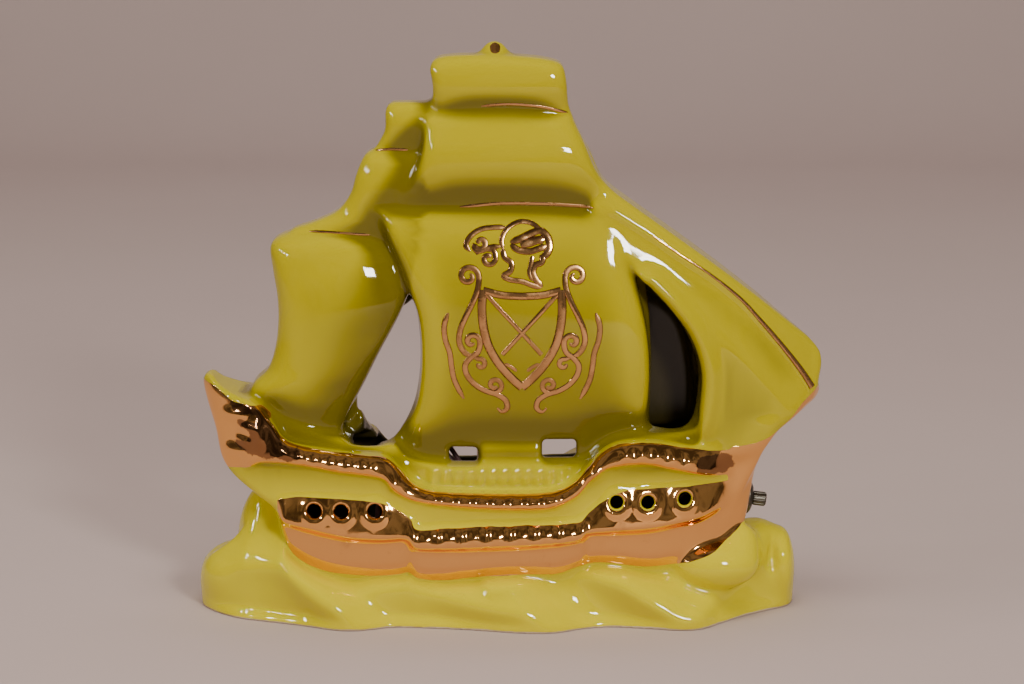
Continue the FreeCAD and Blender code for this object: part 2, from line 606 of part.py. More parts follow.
def from_switch(side, away):
    """A point straight behind that hole."""
    p = switch_back(side) - SWITCH_AXIS * away
    return (p.x, p.y, p.z)


SPLICE_A = Vector(-66, 4, 44)      # mouth of the cap on the socket's lead
SPLICE_B = Vector(-60, 18, 33)     # mouth of the cap on the switch's lead


def lead_socket_to_splice():
    y = LAMP.y - 1.45
    return lead("lead_socket_to_splice", [
        (-9, y, OUTLET_Z), (-19, y, OUTLET_Z), (-24.5, y, OUTLET_Z + 9), (-31, y, OUTLET_Z + 19),
        (-43, y, OUTLET_Z + 20), (-54, y, OUTLET_Z + 8), (-61, y, 58),
        (SPLICE_A.x, SPLICE_A.y, SPLICE_A.z + 8), (SPLICE_A.x, SPLICE_A.y, SPLICE_A.z - 9)])


def lead_socket_to_switch():
    y = LAMP.y + 1.45
    return lead("lead_socket_to_switch", [
        (-9, y, OUTLET_Z), (-20, y, OUTLET_Z), (-27, y, OUTLET_Z + 8), (-34, y + 0.5, OUTLET_Z + 15),
        (-44, y + 1, OUTLET_Z + 14), (-52, y + 2, OUTLET_Z + 3), (-54, y + 3, 52), (-49, y + 4, 38),
        (-36, y + 3, 30), (-18, y + 1, 30.5), (2, y - 1, 33.5), (22, y - 4, 33), (42, y - 6, 35),
        (62, y - 6, 42), (80, y - 6.5, 52), from_switch(-1, 8), from_switch(-1, 0)])


def lead_switch_to_splice():
    return lead("lead_switch_to_splice", [
        from_switch(1, 0), from_switch(1, 8), (82, 9.5, 50), (64, 12, 40), (44, 14, 34),
        (22, 16, 36), (2, 17, 35), (-18, 16, 37), (-36, 18, 34.5), (-50, SPLICE_B.y, SPLICE_B.z),
        (SPLICE_B.x - 9, SPLICE_B.y, SPLICE_B.z + 0.01)])


def splice_cap(mouth, axis):
    """A moulded screw-on cap, open at its mouth."""
    return turned([(SPLICE_BORE, 0), (SPLICE_R, 0), (SPLICE_R, 3.0), (SPLICE_R - 0.7, 5.0),
                   (SPLICE_R - 1.4, SPLICE_LENGTH - 1.5), (SPLICE_R - 2.4, SPLICE_LENGTH),
                   (0, SPLICE_LENGTH), (0, 10.5), (SPLICE_BORE, 10.5)], mouth, axis)


def cord_grommet():
    """The rubber ring in the back wall that the mains cord is passed through."""
    outer_face = GROMMET_SEAT_Y + GROMMET_RIM
    inner_face = GROMMET_SEAT_Y - GROMMET_WALL - GROMMET_RIM
    at = Vector(INLET_X, 0, INLET_Z)
    waist = cylinder(INLET_HOLE_R, outer_face - inner_face, at + Y * inner_face, Y)
    outside = cylinder(GROMMET_RIM_R, GROMMET_RIM, at + Y * GROMMET_SEAT_Y, Y)
    inside = cylinder(GROMMET_RIM_R, GROMMET_RIM, at + Y * inner_face, Y)
    ring = fused([waist, outside, inside])
    return ring.cut(cylinder(GROMMET_BORE_R, 20, at + Y * (inner_face - 2), Y))


def main():
    os.makedirs(OUT, exist_ok=True)
    save("ceramic_ship", ceramic_ship())
    save("socket_bracket", socket_bracket())
    save("bracket_screw", bracket_screw())
    save("bracket_nut", bracket_nut())
    save("screw_washers", *screw_washers())
    save("threaded_nipple", threaded_nipple())
    save("nipple_locknut", nipple_locknut())
    save("socket_cap", socket_cap())
    save("outlet_bush", outlet_bush())
    save("socket_shell", socket_shell())
    save("shell_liner", shell_liner())
    save("socket_core", socket_core())
    save("screw_shell", screw_shell())
    save("centre_contact", centre_contact())
    save("terminal_screws", *terminal_screws())
    save("bulb_base", bulb_base())
    save("bulb_insulator", bulb_insulator())
    save("bulb_tip_contact", bulb_tip_contact())
    save("bulb_glass", bulb_glass())
    save("bulb_mount", bulb_mount())
    save("bulb_filament", bulb_filament())
    save("switch_housing", switch_housing())
    save("switch_bushing", switch_bushing())
    save("switch_lock_washer", switch_lock_washer())
    save("switch_ring_nut", switch_ring_nut())
    save("switch_shaft", switch_shaft())
    save("switch_knob", switch_knob())
    save("switch_rotor", switch_rotor())
    save("switch_contacts", *switch_contacts())
    save("cord_grommet", cord_grommet())
    save("lead_socket_to_splice", lead_socket_to_splice())
    save("lead_socket_to_switch", lead_socket_to_switch())
    save("lead_switch_to_splice", lead_switch_to_splice())
    save("splice_cap_socket", splice_cap(SPLICE_A, Z * -1))
    save("splice_cap_switch", splice_cap(SPLICE_B, X * -1))


main()
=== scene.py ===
"""A galleon television lamp in chartreuse glaze with gold lustre: its looks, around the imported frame."""
import json
import math

import bpy
import numpy as np
import openvdb
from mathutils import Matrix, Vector
from mathutils.bvhtree import BVHTree


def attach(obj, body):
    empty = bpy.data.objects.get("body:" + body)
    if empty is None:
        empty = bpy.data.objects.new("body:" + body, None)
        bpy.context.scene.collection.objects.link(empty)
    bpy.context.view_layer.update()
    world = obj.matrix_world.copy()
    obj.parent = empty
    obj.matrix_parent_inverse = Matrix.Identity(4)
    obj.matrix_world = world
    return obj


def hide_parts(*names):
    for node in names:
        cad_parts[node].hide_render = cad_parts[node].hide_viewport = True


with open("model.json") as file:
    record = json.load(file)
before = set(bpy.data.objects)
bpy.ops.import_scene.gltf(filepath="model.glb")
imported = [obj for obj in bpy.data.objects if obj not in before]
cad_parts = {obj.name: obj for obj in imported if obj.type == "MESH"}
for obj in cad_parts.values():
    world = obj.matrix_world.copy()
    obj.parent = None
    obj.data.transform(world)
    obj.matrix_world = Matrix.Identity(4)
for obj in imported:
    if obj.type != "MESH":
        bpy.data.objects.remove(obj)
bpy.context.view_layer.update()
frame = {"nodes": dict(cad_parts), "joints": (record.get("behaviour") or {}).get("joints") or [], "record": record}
MM = 0.001

# ------------------------------------------------------------------ casting, in millimetres
CELL = 1.0        # size of the grid's cells
LOW = np.array([-160.0, -57.0, -5.0])
HIGH = np.array([160.0, 57.0, 290.0])
WALL = 5.0
LEAST_WALL = 3.4
FOOT_RIM = 6.0
TRIANGLES = 190_000

# Outlines run smoothly from corner to corner. A point given twice is a corner.
FOOTPRINT = [(-156.0, 6), (-153.2, -4), (-146, -15), (-134, -26), (-120, -32), (-103, -39), (-86, -47.5),
             (-76, -49), (-66, -46), (-57, -42.5), (-38, -44), (-14, -48), (2, -52), (15, -53.4),
             (26, -51.5), (37, -45), (51, -42), (70, -45), (85, -48), (96, -45.5), (106, -35), (119, -21),
             (132, -10), (141, -2), (145.3, 9), (145, 26), (137, 40), (120, 48), (90, 51.5), (45, 53),
             (0, 53.2), (-45, 53), (-90, 51.5), (-125, 46), (-147, 34), (-155.6, 20)]
HULL = [(-152.5, 117), (-151, 120.5), (-148, 121), (-144, 117), (-135, 112.5), (-125, 109.5),
        (-116.5, 100.5), (-110, 92.5), (-103, 90), (-82, 87.3), (-60, 85), (-51, 77), (-46, 71.5),
        (-40, 69), (0, 67), (24, 68.5), (33, 73), (40, 81), (46, 87.5), (53, 91.5), (63, 93), (76, 92.3),
        (92, 89), (112, 88), (127, 92), (142, 105), (152, 115), (156, 112.5), (148, 103.5), (139, 96),
        (129.4, 89), (125.3, 80.5), (122.8, 70), (120.8, 58), (118.6, 48), (109, 34), (90, 23), (50, 18),
        (0, 17), (-60, 18), (-90, 22), (-104, 30), (-112, 42), (-116, 56), (-125, 63.5), (-137, 72.5),
        (-142.5, 80), (-146, 95), (-150.5, 108)]
HULL_HALF_DEPTH = [(-154, 3), (-150, 9), (-143, 17), (-125, 28), (-100, 36), (-55, 41.3), (0, 42.4),
                   (50, 41.2), (90, 33), (115, 20.5), (124, 15.5), (140, 9), (152, 5.5), (157, 3)]
DECK = [(-128, 90), (-128, 90), (-124, 106), (-110, 99), (-90, 93), (-58, 90), (-50, 83), (-36, 79),
        (0, 78.5), (36, 80), (56, 92), (90, 96), (118, 98), (132, 99), (132, 99), (126, 82), (110, 50),
        (110, 50), (-100, 50), (-100, 50)]
MAIN_COURSE = [(-64, 204), (-64, 204), (-44, 206.5), (-10, 208), (20, 207.5), (47, 205), (47, 205),
               (56, 190), (63.5, 168), (68.5, 145), (70.5, 125), (70, 105), (69, 84), (69, 62), (69, 62),
               (-54, 62), (-54, 62), (-54.5, 84), (-51, 96), (-46, 108), (-43.5, 128), (-44.5, 152),
               (-52, 174), (-60, 193)]
MAIN_TOPSAIL = [(-42, 252), (-42, 252), (-12, 255.5), (9, 255.5), (31, 251), (31, 251), (37, 239),
                (43, 225), (51, 212), (58, 200), (58, 192), (-20, 190), (-58, 198), (-58, 198),
                (-53, 209), (-46, 222), (-42, 236)]
MAIN_TOPGALLANT = [(-38, 274.5), (-35.5, 278.2), (-31, 279.5), (-4, 280.2), (20, 278), (26.5, 275.5),
                   (28.4, 270), (29.5, 258), (30.5, 246), (-10, 243), (-35, 246), (-36.5, 256),
                   (-36.8, 266)]
MIZZEN_COURSE = [(-117.5, 186), (-112, 190.5), (-98, 191.5), (-66, 190.5), (-58, 188), (-50, 176),
                 (-48, 160), (-55, 142), (-66, 124), (-76, 104), (-80, 84), (-80, 66), (-112, 66),
                 (-121, 90), (-128, 114), (-119.5, 124), (-115.5, 136), (-114, 150), (-114.5, 162),
                 (-116.5, 174)]
MIZZEN_TOPSAIL = [(-69.5, 231.5), (-64, 233), (-50, 233), (-36, 232), (-34, 210), (-38, 186), (-70, 182),
                  (-96, 186), (-108, 192), (-95, 197.5), (-84, 203), (-77.5, 212), (-74.5, 222)]
MIZZEN_TOPGALLANT = [(-60, 253), (-58, 256), (-50, 256.7), (-40, 256.7), (-32, 256), (-32, 226),
                     (-60, 226), (-68, 228), (-64, 236), (-60.5, 243)]
JIB = [(40, 222), (40, 222), (52, 213.5), (66, 203.5), (92, 185), (118, 165.5), (141, 146.5), (152, 137),
       (156.4, 131), (157, 125), (155.5, 118), (153, 109), (153, 109), (138, 97), (120, 84), (96, 80),
       (96, 80), (94.5, 104), (95, 125), (90, 142), (79, 157), (66, 171), (52, 186), (40, 198), (40, 198)]
NECK = [(-84, 66), (-84, 66), (-72, 108), (-60, 138), (-50, 163), (-40, 195), (-36, 235), (36, 235),
        (46, 212), (66, 172), (90, 150), (98, 120), (96, 66), (96, 66)]
STERN_WINDOW = [(-49, 162), (-49, 162), (-54, 151), (-63, 134), (-72, 115), (-79, 102), (-82, 94),
                (-79, 89.5), (-68, 88), (-58, 89.5), (-52, 97), (-46.5, 109), (-43.8, 125), (-43.8, 142),
                (-46, 156)]
BOW_WINDOW = [(68.5, 167), (68.5, 167), (79, 156), (89, 141.5), (94.5, 125), (94, 109), (91.5, 99.5),
              (87, 95.3), (76, 95), (71, 97), (71, 110), (71.3, 130), (70.4, 150)]
BACK_OPENING = [(-75.5, 118), (-70, 90), (-58, 75), (-35, 73), (-8, 73), (20, 73.5), (41, 77), (48, 104),
                (46, 130), (32, 156), (8, 168), (-16, 168.5), (-40, 160), (-62, 144)]
PORTHOLES = [(-95.3, 58.1), (-81.9, 58.2), (-65.3, 58.7), (53.5, 63.2), (68.9, 62.7), (87.3, 63.5)]
DECK_LIGHTS = [((-22, 82.8), (7, 3.6)), ((25.5, 86), (8.3, 4.6))]          # centre and half size

# Gilded bands on the front of the hull: their upper and lower edges.
RAIL_TOP = [(-148, 116.8), (-143, 114.2), (-139, 111), (-136, 109.8), (-129.6, 109.2), (-122, 107.8),
            (-117.4, 104.4), (-115, 100), (-112.5, 95), (-108.5, 91.8), (-102, 90), (-90, 88),
            (-73, 86.4), (-59, 85.2), (-54, 82), (-49.5, 76), (-46, 72), (-40, 69.4), (-21, 68.2),
            (6, 68), (23, 69.4), (32, 72.8), (39, 79.6), (45.5, 87), (52, 91), (63, 92.6), (74, 91.8),
            (90.6, 88.4), (104, 86.4), (112, 87), (119, 88.8)]
RAIL_FOOT = [(-150, 84), (-140, 80.6), (-135, 78.3), (-129, 77.6), (-125.5, 79.3), (-122, 80.8),
             (-113, 81.4), (-98, 80.3), (-83.6, 78), (-68, 76.4), (-60, 74.6), (-56.5, 69.8), (-50.5, 66),
             (-42, 63.4), (-21.6, 61), (5, 59.8), (22, 60.8), (33.5, 66.5), (41, 74.9), (47.6, 79.9),
             (57.5, 81.8), (68.5, 81.8), (79.6, 79.1), (91, 76.2), (105, 73.6), (118, 74)]
BELT_TOP = [(-114, 62.8), (-102.6, 64.6), (-90, 64.6), (-75, 64), (-61, 62.6), (-52.6, 58.4),
            (-47.5, 54.6), (-45.4, 50.4), (-32, 50.6), (-11, 51.6), (8, 52.2), (25, 52.8), (35.7, 54),
            (40, 58.2), (47.7, 64.6), (56.5, 68.6), (72, 69.6), (85, 69.5), (97, 70), (110, 70.4),
            (118, 72)]
BELT_FOOT = [(-114, 56), (-112.3, 49.5), (-110.3, 41), (-107.2, 34.9), (-101, 30), (-92.5, 26.6),
             (-82, 24.8), (-67.5, 24.2), (-53, 25.4), (-48.7, 26.4), (-44.6, 24.1), (-32, 23.1),
             (-20, 24.3), (5, 26), (25, 26.5), (34.7, 30), (43.5, 31.4), (54.5, 30.4), (70, 28.3),
             (85.7, 30), (97, 33.5), (108.3, 40), (117.5, 48), (122, 58)]
BELT_SHELF = [(-114, 54), (-112, 52.7), (-102.7, 50.3), (-90, 47.6), (-78.7, 45.6), (-63, 45),
              (-50, 45.6), (-47.5, 43), (-45.5, 41.6), (-32, 41.2), (-11, 41.9), (8, 42.7), (25, 44.1),
              (34.6, 45.7), (39, 48.6), (52, 49.4), (70, 49.9), (83, 51.8), (94.4, 53.7), (103.5, 57.2),
              (112, 62), (118, 66)]


def smooth_line(points, closed, step=0.6):
    """Points along a smooth curve through a list, split at the points that are given twice."""
    pts = np.array(points, float)
    if closed:
        twice = [i for i in range(len(pts)) if np.allclose(pts[i], pts[i - 1])]
        if twice:
            pts = np.roll(pts, -twice[0], axis=0)
        pts = np.vstack([pts, pts[:1]])
    keep = [0] + [i for i in range(1, len(pts)) if np.allclose(pts[i], pts[i - 1])] + [len(pts)]
    runs = [pts[a:b] for a, b in zip(keep, keep[1:]) if b - a > 0]
    runs = [r if i == 0 or np.allclose(r[0], runs[i - 1][-1]) else np.vstack([runs[i - 1][-1:], r])
            for i, r in enumerate(runs)]
    loop = closed and len(runs) == 1
    out = []
    for run in runs:
        if len(run) < 2:
            continue
        before = run[-2] if loop else 2 * run[0] - run[1]
        after = run[1] if loop else 2 * run[-1] - run[-2]
        full = np.vstack([before, run, after])
        for p0, p1, p2, p3 in zip(full, full[1:], full[2:], full[3:]):
            length = math.dist(p1, p2)
            t01 = max(math.dist(p0, p1), 1e-6) ** 0.5
            t12 = max(length, 1e-6) ** 0.5
            t23 = max(math.dist(p2, p3), 1e-6) ** 0.5
            m1 = (p2 - p1) + t12 * ((p1 - p0) / t01 - (p2 - p0) / (t01 + t12))
            m2 = (p2 - p1) + t12 * ((p3 - p2) / t23 - (p3 - p1) / (t12 + t23))
            t = np.linspace(0, 1, max(2, int(length / step)) + 1)[:-1, None]
            out.append((2 * t**3 - 3 * t**2 + 1) * p1 + (t**3 - 2 * t**2 + t) * m1
                       + (3 * t**2 - 2 * t**3) * p2 + (t**3 - t**2) * m2)
    out.append(runs[-1][-1:])
    return np.vstack(out)


def along(points, where):
    """The height of a curve over each place: its points smoothed, then read off."""
    line = smooth_line(points, closed=False, step=1.0)
    return np.interp(where, line[:, 0], line[:, 1])


def distance_2d(points, a, b):
    """Signed distance from places (a, b) to a smooth closed outline, negative inside."""
    line = smooth_line(points, closed=True, step=1.2)
    p, q = line[:-1], line[1:]
    best = np.full(a.shape, 1e9)
    inside = np.zeros(a.shape, bool)
    for (px, py), (qx, qy) in zip(p, q):
        dx, dy = qx - px, qy - py
        span = dx * dx + dy * dy
        if span < 1e-12:
            continue
        t = np.clip(((a - px) * dx + (b - py) * dy) / span, 0, 1)
        best = np.minimum(best, (a - px - t * dx) ** 2 + (b - py - t * dy) ** 2)
        if py != qy:
            inside ^= ((py > b) != (qy > b)) & (a < dx * (b - py) / (qy - py) + px)
    best = np.sqrt(best)
    return np.where(inside, -best, best)


def union(a, b, blend):
    h = np.clip(0.5 + 0.5 * (b - a) / blend, 0, 1)
    return b + (a - b) * h - blend * h * (1 - h)


def meet(a, b, blend):
    return -union(-a, -b, blend)


def ramp(value, start, end):
    """Smooth step from 0 at start to 1 at end."""
    t = np.clip((value - start) / (end - start), 0, 1)
    return t * t * (3 - 2 * t)


axes = [np.arange(lo, hi + CELL, CELL, dtype=np.float32) for lo, hi in zip(LOW, HIGH)]
GX = axes[0][:, None, None]
GY = axes[1][None, :, None]
GZ = axes[2][None, None, :]
FX, FZ = np.meshgrid(axes[0], axes[2], indexing="ij")     # the front elevation
PX, PY = np.meshgrid(axes[0], axes[1], indexing="ij")     # the plan


def over(values):
    """Values over the front elevation, spread through the grid's depth."""
    return values.astype(np.float32)[:, None, :]


def elevation(points):
    return over(distance_2d(points, FX, FZ))


def slab(outline, front, back, edge):
    """A piece with an outline seen from the front, between a front and a back surface."""
    depth = np.maximum(front - GY, GY - back)
    return meet(outline, depth, edge)


def column(points):
    """A curve of depth against height, as a field over the elevation."""
    return over(along(points, FZ))


def across(outline_points):
    """Minus one at the left edge of an outline, one at its right edge, at each height."""
    line = smooth_line(outline_points, closed=True, step=1.0)
    rows = axes[2]
    left, right = np.full(len(rows), np.nan), np.full(len(rows), np.nan)
    for i, z in enumerate(rows):
        near = line[np.abs(line[:, 1] - z) < 1.5]
        if len(near):
            left[i], right[i] = near[:, 0].min(), near[:, 0].max()
    known = ~np.isnan(left)
    left = np.interp(rows, rows[known], left[known])
    right = np.interp(rows, rows[known], right[known])
    return over((FX - (left + right) / 2) / np.maximum((right - left) / 2, 1))


def sail(outline_points, profile, belly, back, edge):
    """A sail full of wind: its depth down the middle, less what it falls back by towards its sides."""
    u = across(outline_points)
    front = column([(z, y) for y, z in profile]) + belly * np.clip(u, -1.3, 1.3) ** 2
    return slab(elevation(outline_points), front, back, edge)


def ship_sails():
    """The six square sails over a neck that joins them, and the jib."""
    main = sail(MAIN_COURSE, [(-19, 60), (-20, 78), (-23, 92), (-28, 108), (-31.5, 130), (-32, 152),
                              (-30, 174), (-26, 192), (-21, 206)], 4.0, 21.0, 9.0)
    topsail = sail(MAIN_TOPSAIL, [(-15, 190), (-16.5, 203), (-20.5, 212), (-26, 224), (-26, 236),
                                  (-21, 248), (-16, 256)], 4.0, 15.5, 8.0)
    topgallant = sail(MAIN_TOPGALLANT, [(-13, 243), (-16, 254), (-19, 263), (-18.5, 272), (-15, 281)],
                      2.5, 11.0, 6.0)
    course = sail(MIZZEN_COURSE, [(-17, 60), (-18, 90), (-22, 112), (-25, 138), (-25, 160), (-22, 178),
                                  (-17, 192)], 9.0, 17.0, 9.0)
    mizzen_top = sail(MIZZEN_TOPSAIL, [(-9, 182), (-13, 200), (-15.5, 215), (-14, 228), (-11, 234)],
                      4.0, 13.0, 7.0)
    mizzen_high = sail(MIZZEN_TOPGALLANT, [(-8, 226), (-11, 238), (-12.5, 247), (-9.5, 258)],
                       3.0, 10.0, 5.0)
    whole = union(topsail, topgallant, 2.2)
    whole = union(whole, main, 2.4)
    mizzen = union(union(mizzen_top, mizzen_high, 2.0), course, 2.2)
    neck = slab(elevation(NECK), column([(60, -14), (110, -13), (160, -11), (240, -8)]), 17.0, 6.0)
    whole = union(union(whole, neck, 5.0), mizzen, 5.0)
    return union(whole, jib(), 3.0)


SPAR = [(50, 206), (71, 192.8), (83, 184.4), (98.8, 174), (114.5, 161.3), (125, 149.7), (135.7, 137.1),
        (146.3, 123.3), (152, 114.5)]


SPAR_EDGE, BELLY_PROUD, BELLY_REACH = 1.6, 5.6, 32


def jib():
    """The jib: a belly, a rolled rim round the window, and a flat strip outside the spar."""
    outline = elevation(JIB)
    reach = along([(40, -18), (70, -19), (95, -19), (120, -16), (140, -11), (157, -6)], FX)
    height = FZ - along(SPAR, FX)
    strip = np.where(height > 0, SPAR_EDGE - 0.30 * height, 0.0)
    fullness = (1 - np.cos(math.pi * np.clip(-height / BELLY_REACH, 0, 1))) / 2
    belly = np.where(height < 0, SPAR_EDGE + BELLY_PROUD * fullness, 0.0)
    rim = 4.0 * np.exp(-((distance_2d(BOW_WINDOW, FX, FZ) - 5.5) / 3.8) ** 2)
    spar = 0.9 * np.exp(-(height / 1.8) ** 2)
    back = over(along([(40, 16), (95, 15), (130, 11), (157, 4)], FX))
    return slab(outline, over(reach - strip - belly - rim - spar), back, 4.0)


def lip(height, foot, top, drop=0.25):
    """A moulding's section: it starts sharply at its foot and leans back to a part of that at its top."""
    rise = ramp(height, foot - 0.9, foot + 1.1)
    leans = 1 - (1 - drop) * np.clip((height - foot - 1.1) / np.maximum(top - foot - 1.1, 1), 0, 1)
    return rise * leans * (1 - ramp(height, top - 0.6, top + 1.8))


def row(where, pitch, start, end):
    """One at the middle of each of a row's places, nought between them and beyond its ends."""
    inside = ramp(where, start - 0.5, start + 0.5) * (1 - ramp(where, end - 0.5, end + 0.5))
    return inside * (0.5 + 0.5 * np.cos(2 * math.pi * (where - start - pitch / 2) / pitch))


# How far each moulding stands out from the hull's side, and how far apart the small ones are.
RAIL_PROUD, BEAD_PROUD, STUD_PROUD, KNUCKLE_PROUD = 4.4, 2.6, 2.6, 2.6
BELT_PROUD, WAIST_BELT_PROUD, STEP_PROUD, PANEL_PROUD = 5.4, 4.0, 2.6, 2.6
RING_PROUD, RING_RADIUS, CARVING_PROUD, BALUSTER_PROUD, CAP_RAIL_PROUD = 1.5, 4.9, 2.2, 3.4, 1.6
BEAD_PITCH, STUD_PITCH, PANEL_PITCH, BALUSTER_PITCH = 8.4, 8.0, 11.9, 5.7
KNUCKLES = [(-55.5, 73.5), (43, 78)]
TRANSOM_CARVINGS = [             # each one's centre, half width and half height
    (-135, 103.5, 5.5, 2.2), (-128.5, 97.5, 4.5, 2.0), (-131, 91, 3.2, 1.8), (-134.5, 85.5, 5.0, 2.4),
    (-122.5, 95, 2.4, 6.5)]


def hull_relief():
    """How far the mouldings stand out from the hull's side, over the elevation."""
    top, foot = along(RAIL_TOP, FX), along(RAIL_FOOT, FX)
    on_hull = ramp(FX, -134, -126) * (1 - ramp(FX, 98, 116))
    rail = RAIL_PROUD * lip(FZ, foot, top, 0.2) * on_hull
    middle = 0.55 * foot + 0.45 * top
    beads = BEAD_PROUD * row(FX, BEAD_PITCH, -40, 30) * np.exp(-((FZ - middle - 0.6) / 2.9) ** 2)
    studs = row(FX, STUD_PITCH, -112, -64) + row(FX, STUD_PITCH, 54, 94)
    studs *= STUD_PROUD * np.exp(-((FZ - middle - 0.8) / 2.2) ** 2)
    knuckles = np.zeros_like(FX)
    for x, z in KNUCKLES:
        knuckles += KNUCKLE_PROUD * np.exp(-((FX - x) ** 2 + (FZ - z) ** 2) / 14.0)
    belt_top, shelf = along(BELT_TOP, FX), along(BELT_SHELF, FX) - 1.5
    waist = ramp(FX, -47.5, -45.5) * (1 - ramp(FX, 35.5, 38.5))
    ends = ramp(FX, -117, -111) * (1 - ramp(FX, 96, 116))
    belt = (BELT_PROUD + (WAIST_BELT_PROUD - BELT_PROUD) * waist) * lip(FZ, shelf, belt_top, 0.15) * ends
    step = STEP_PROUD * ramp(FX, -49.5, -46.5) * (1 - ramp(FX, 36.5, 39.5))
    step = step * (1 - ramp(FZ, belt_top - 1, belt_top + 2))
    pane = row(FX, PANEL_PITCH, -46.5, 36.8)
    centre = (shelf + belt_top) / 2 + 0.3
    frames = 1 - ramp(pane, 0.02, 0.16)
    domes = 0.85 * pane ** 2 * np.exp(-((FZ - centre) / 2.6) ** 2)
    panels = PANEL_PROUD * waist * (frames + domes) * (1 - ramp(np.abs(FZ - centre), 3.6, 5.4))
    seams = -0.5 * waist * (1 - ramp(pane, 0.0, 0.08)) * (1 - ramp(FZ, shelf - 3, shelf - 1))
    relief = rail + beads + studs + knuckles + belt + step + panels + seams
    for x, z in PORTHOLES:
        away = np.hypot(FX - x, FZ - z)
        relief += RING_PROUD * np.exp(-((away - RING_RADIUS) / 1.7) ** 2)
    for x, z, wide, high in TRANSOM_CARVINGS:
        relief += CARVING_PROUD * np.exp(-((FX - x) / wide) ** 4 - ((FZ - z) / high) ** 4)
    return relief


def hull():
    """The hull's side with its mouldings, the deck behind the rail with its balusters, and the hatch."""
    outline = elevation(HULL)
    half = along(HULL_HALF_DEPTH, FX)
    keel = along(BELT_FOOT, FX)
    tuck = 1.0 - 0.045 * (1 - ramp(FZ, 30, 62)) - 0.14 * (1 - ramp(FZ, keel - 3, keel + 8)) ** 1.6
    lean = 1.0 - 0.05 * (1 - ramp(FZ, keel, keel + 8))
    front = -(half * (tuck + (lean - tuck) * ramp(FX, 96, 118)) + hull_relief() - 2.0)
    body = slab(outline, over(front), over(half), 3.0)
    balusters = BALUSTER_PROUD * row(FX, BALUSTER_PITCH, -39.5, 28.9)
    balusters = balusters * (1 - ramp(np.abs(FZ - 73.0), 2.6, 4.2))
    cap_rail = CAP_RAIL_PROUD * ramp(FZ, 75.5, 77) * (1 - ramp(np.abs(FX + 5), 33, 37))
    front = -26.2 + 5.5 * ramp(np.abs(FX + 3), 60, 120) - balusters - cap_rail
    deck = slab(elevation(DECK), over(front), 26.0, 3.0)
    hatch_step = np.hypot(np.maximum(np.abs(FX - 2) - 13, 0), np.maximum(np.abs(FZ - 80) - 5, 0)) - 2.5
    hatch = slab(over(hatch_step), -24.5, 0.0, 3.0)
    return union(union(body, deck, 2.6), hatch, 4.0)


def blob(centre, radii):
    """A rounded lump: an ellipsoid's field, near enough to a distance close to its surface."""
    x, y, z = centre
    rx, ry, rz = radii
    away = np.sqrt(((GX - x) / rx) ** 2 + ((GY - y) / ry) ** 2 + ((GZ - z) / rz) ** 2)
    return (away - 1) * min(radii)


TROUGH = -3.6                    # the sea's side between its ridges, against its outline at the foot
CREST_LIMIT = 46
WAVE_RIDGES = [                  # each ridge's line over the elevation, and its height and half width
    ([(-155, 20), (-135, 27), (-112, 28), (-96, 20), (-84, 9), (-76, -2)], 3.4, 8.0),
    ([(-66, 22), (-50, 24), (-34, 19), (-14, 11), (6, 8), (20, -1)], 3.6, 8.5),
    ([(-8, 22), (12, 25), (34, 28), (56, 22), (72, 11), (88, 4), (98, 9), (110, 21), (124, 32), (136, 35)],
     4.2, 7.0),
    ([(131, 34), (140, 30), (143, 20), (141, 6)], 2.6, 5.0),
]


def near_line(points, a, b):
    """The distance from places (a, b) to an open smooth curve."""
    line = smooth_line(points, closed=False, step=2.0)
    best = np.full(a.shape, 1e9)
    for p, q in zip(line, line[1:]):
        d = q - p
        t = np.clip(((a - p[0]) * d[0] + (b - p[1]) * d[1]) / max(d @ d, 1e-9), 0, 1)
        best = np.minimum(best, np.hypot(a - p[0] - t * d[0], b - p[1] - t * d[1]))
    return best


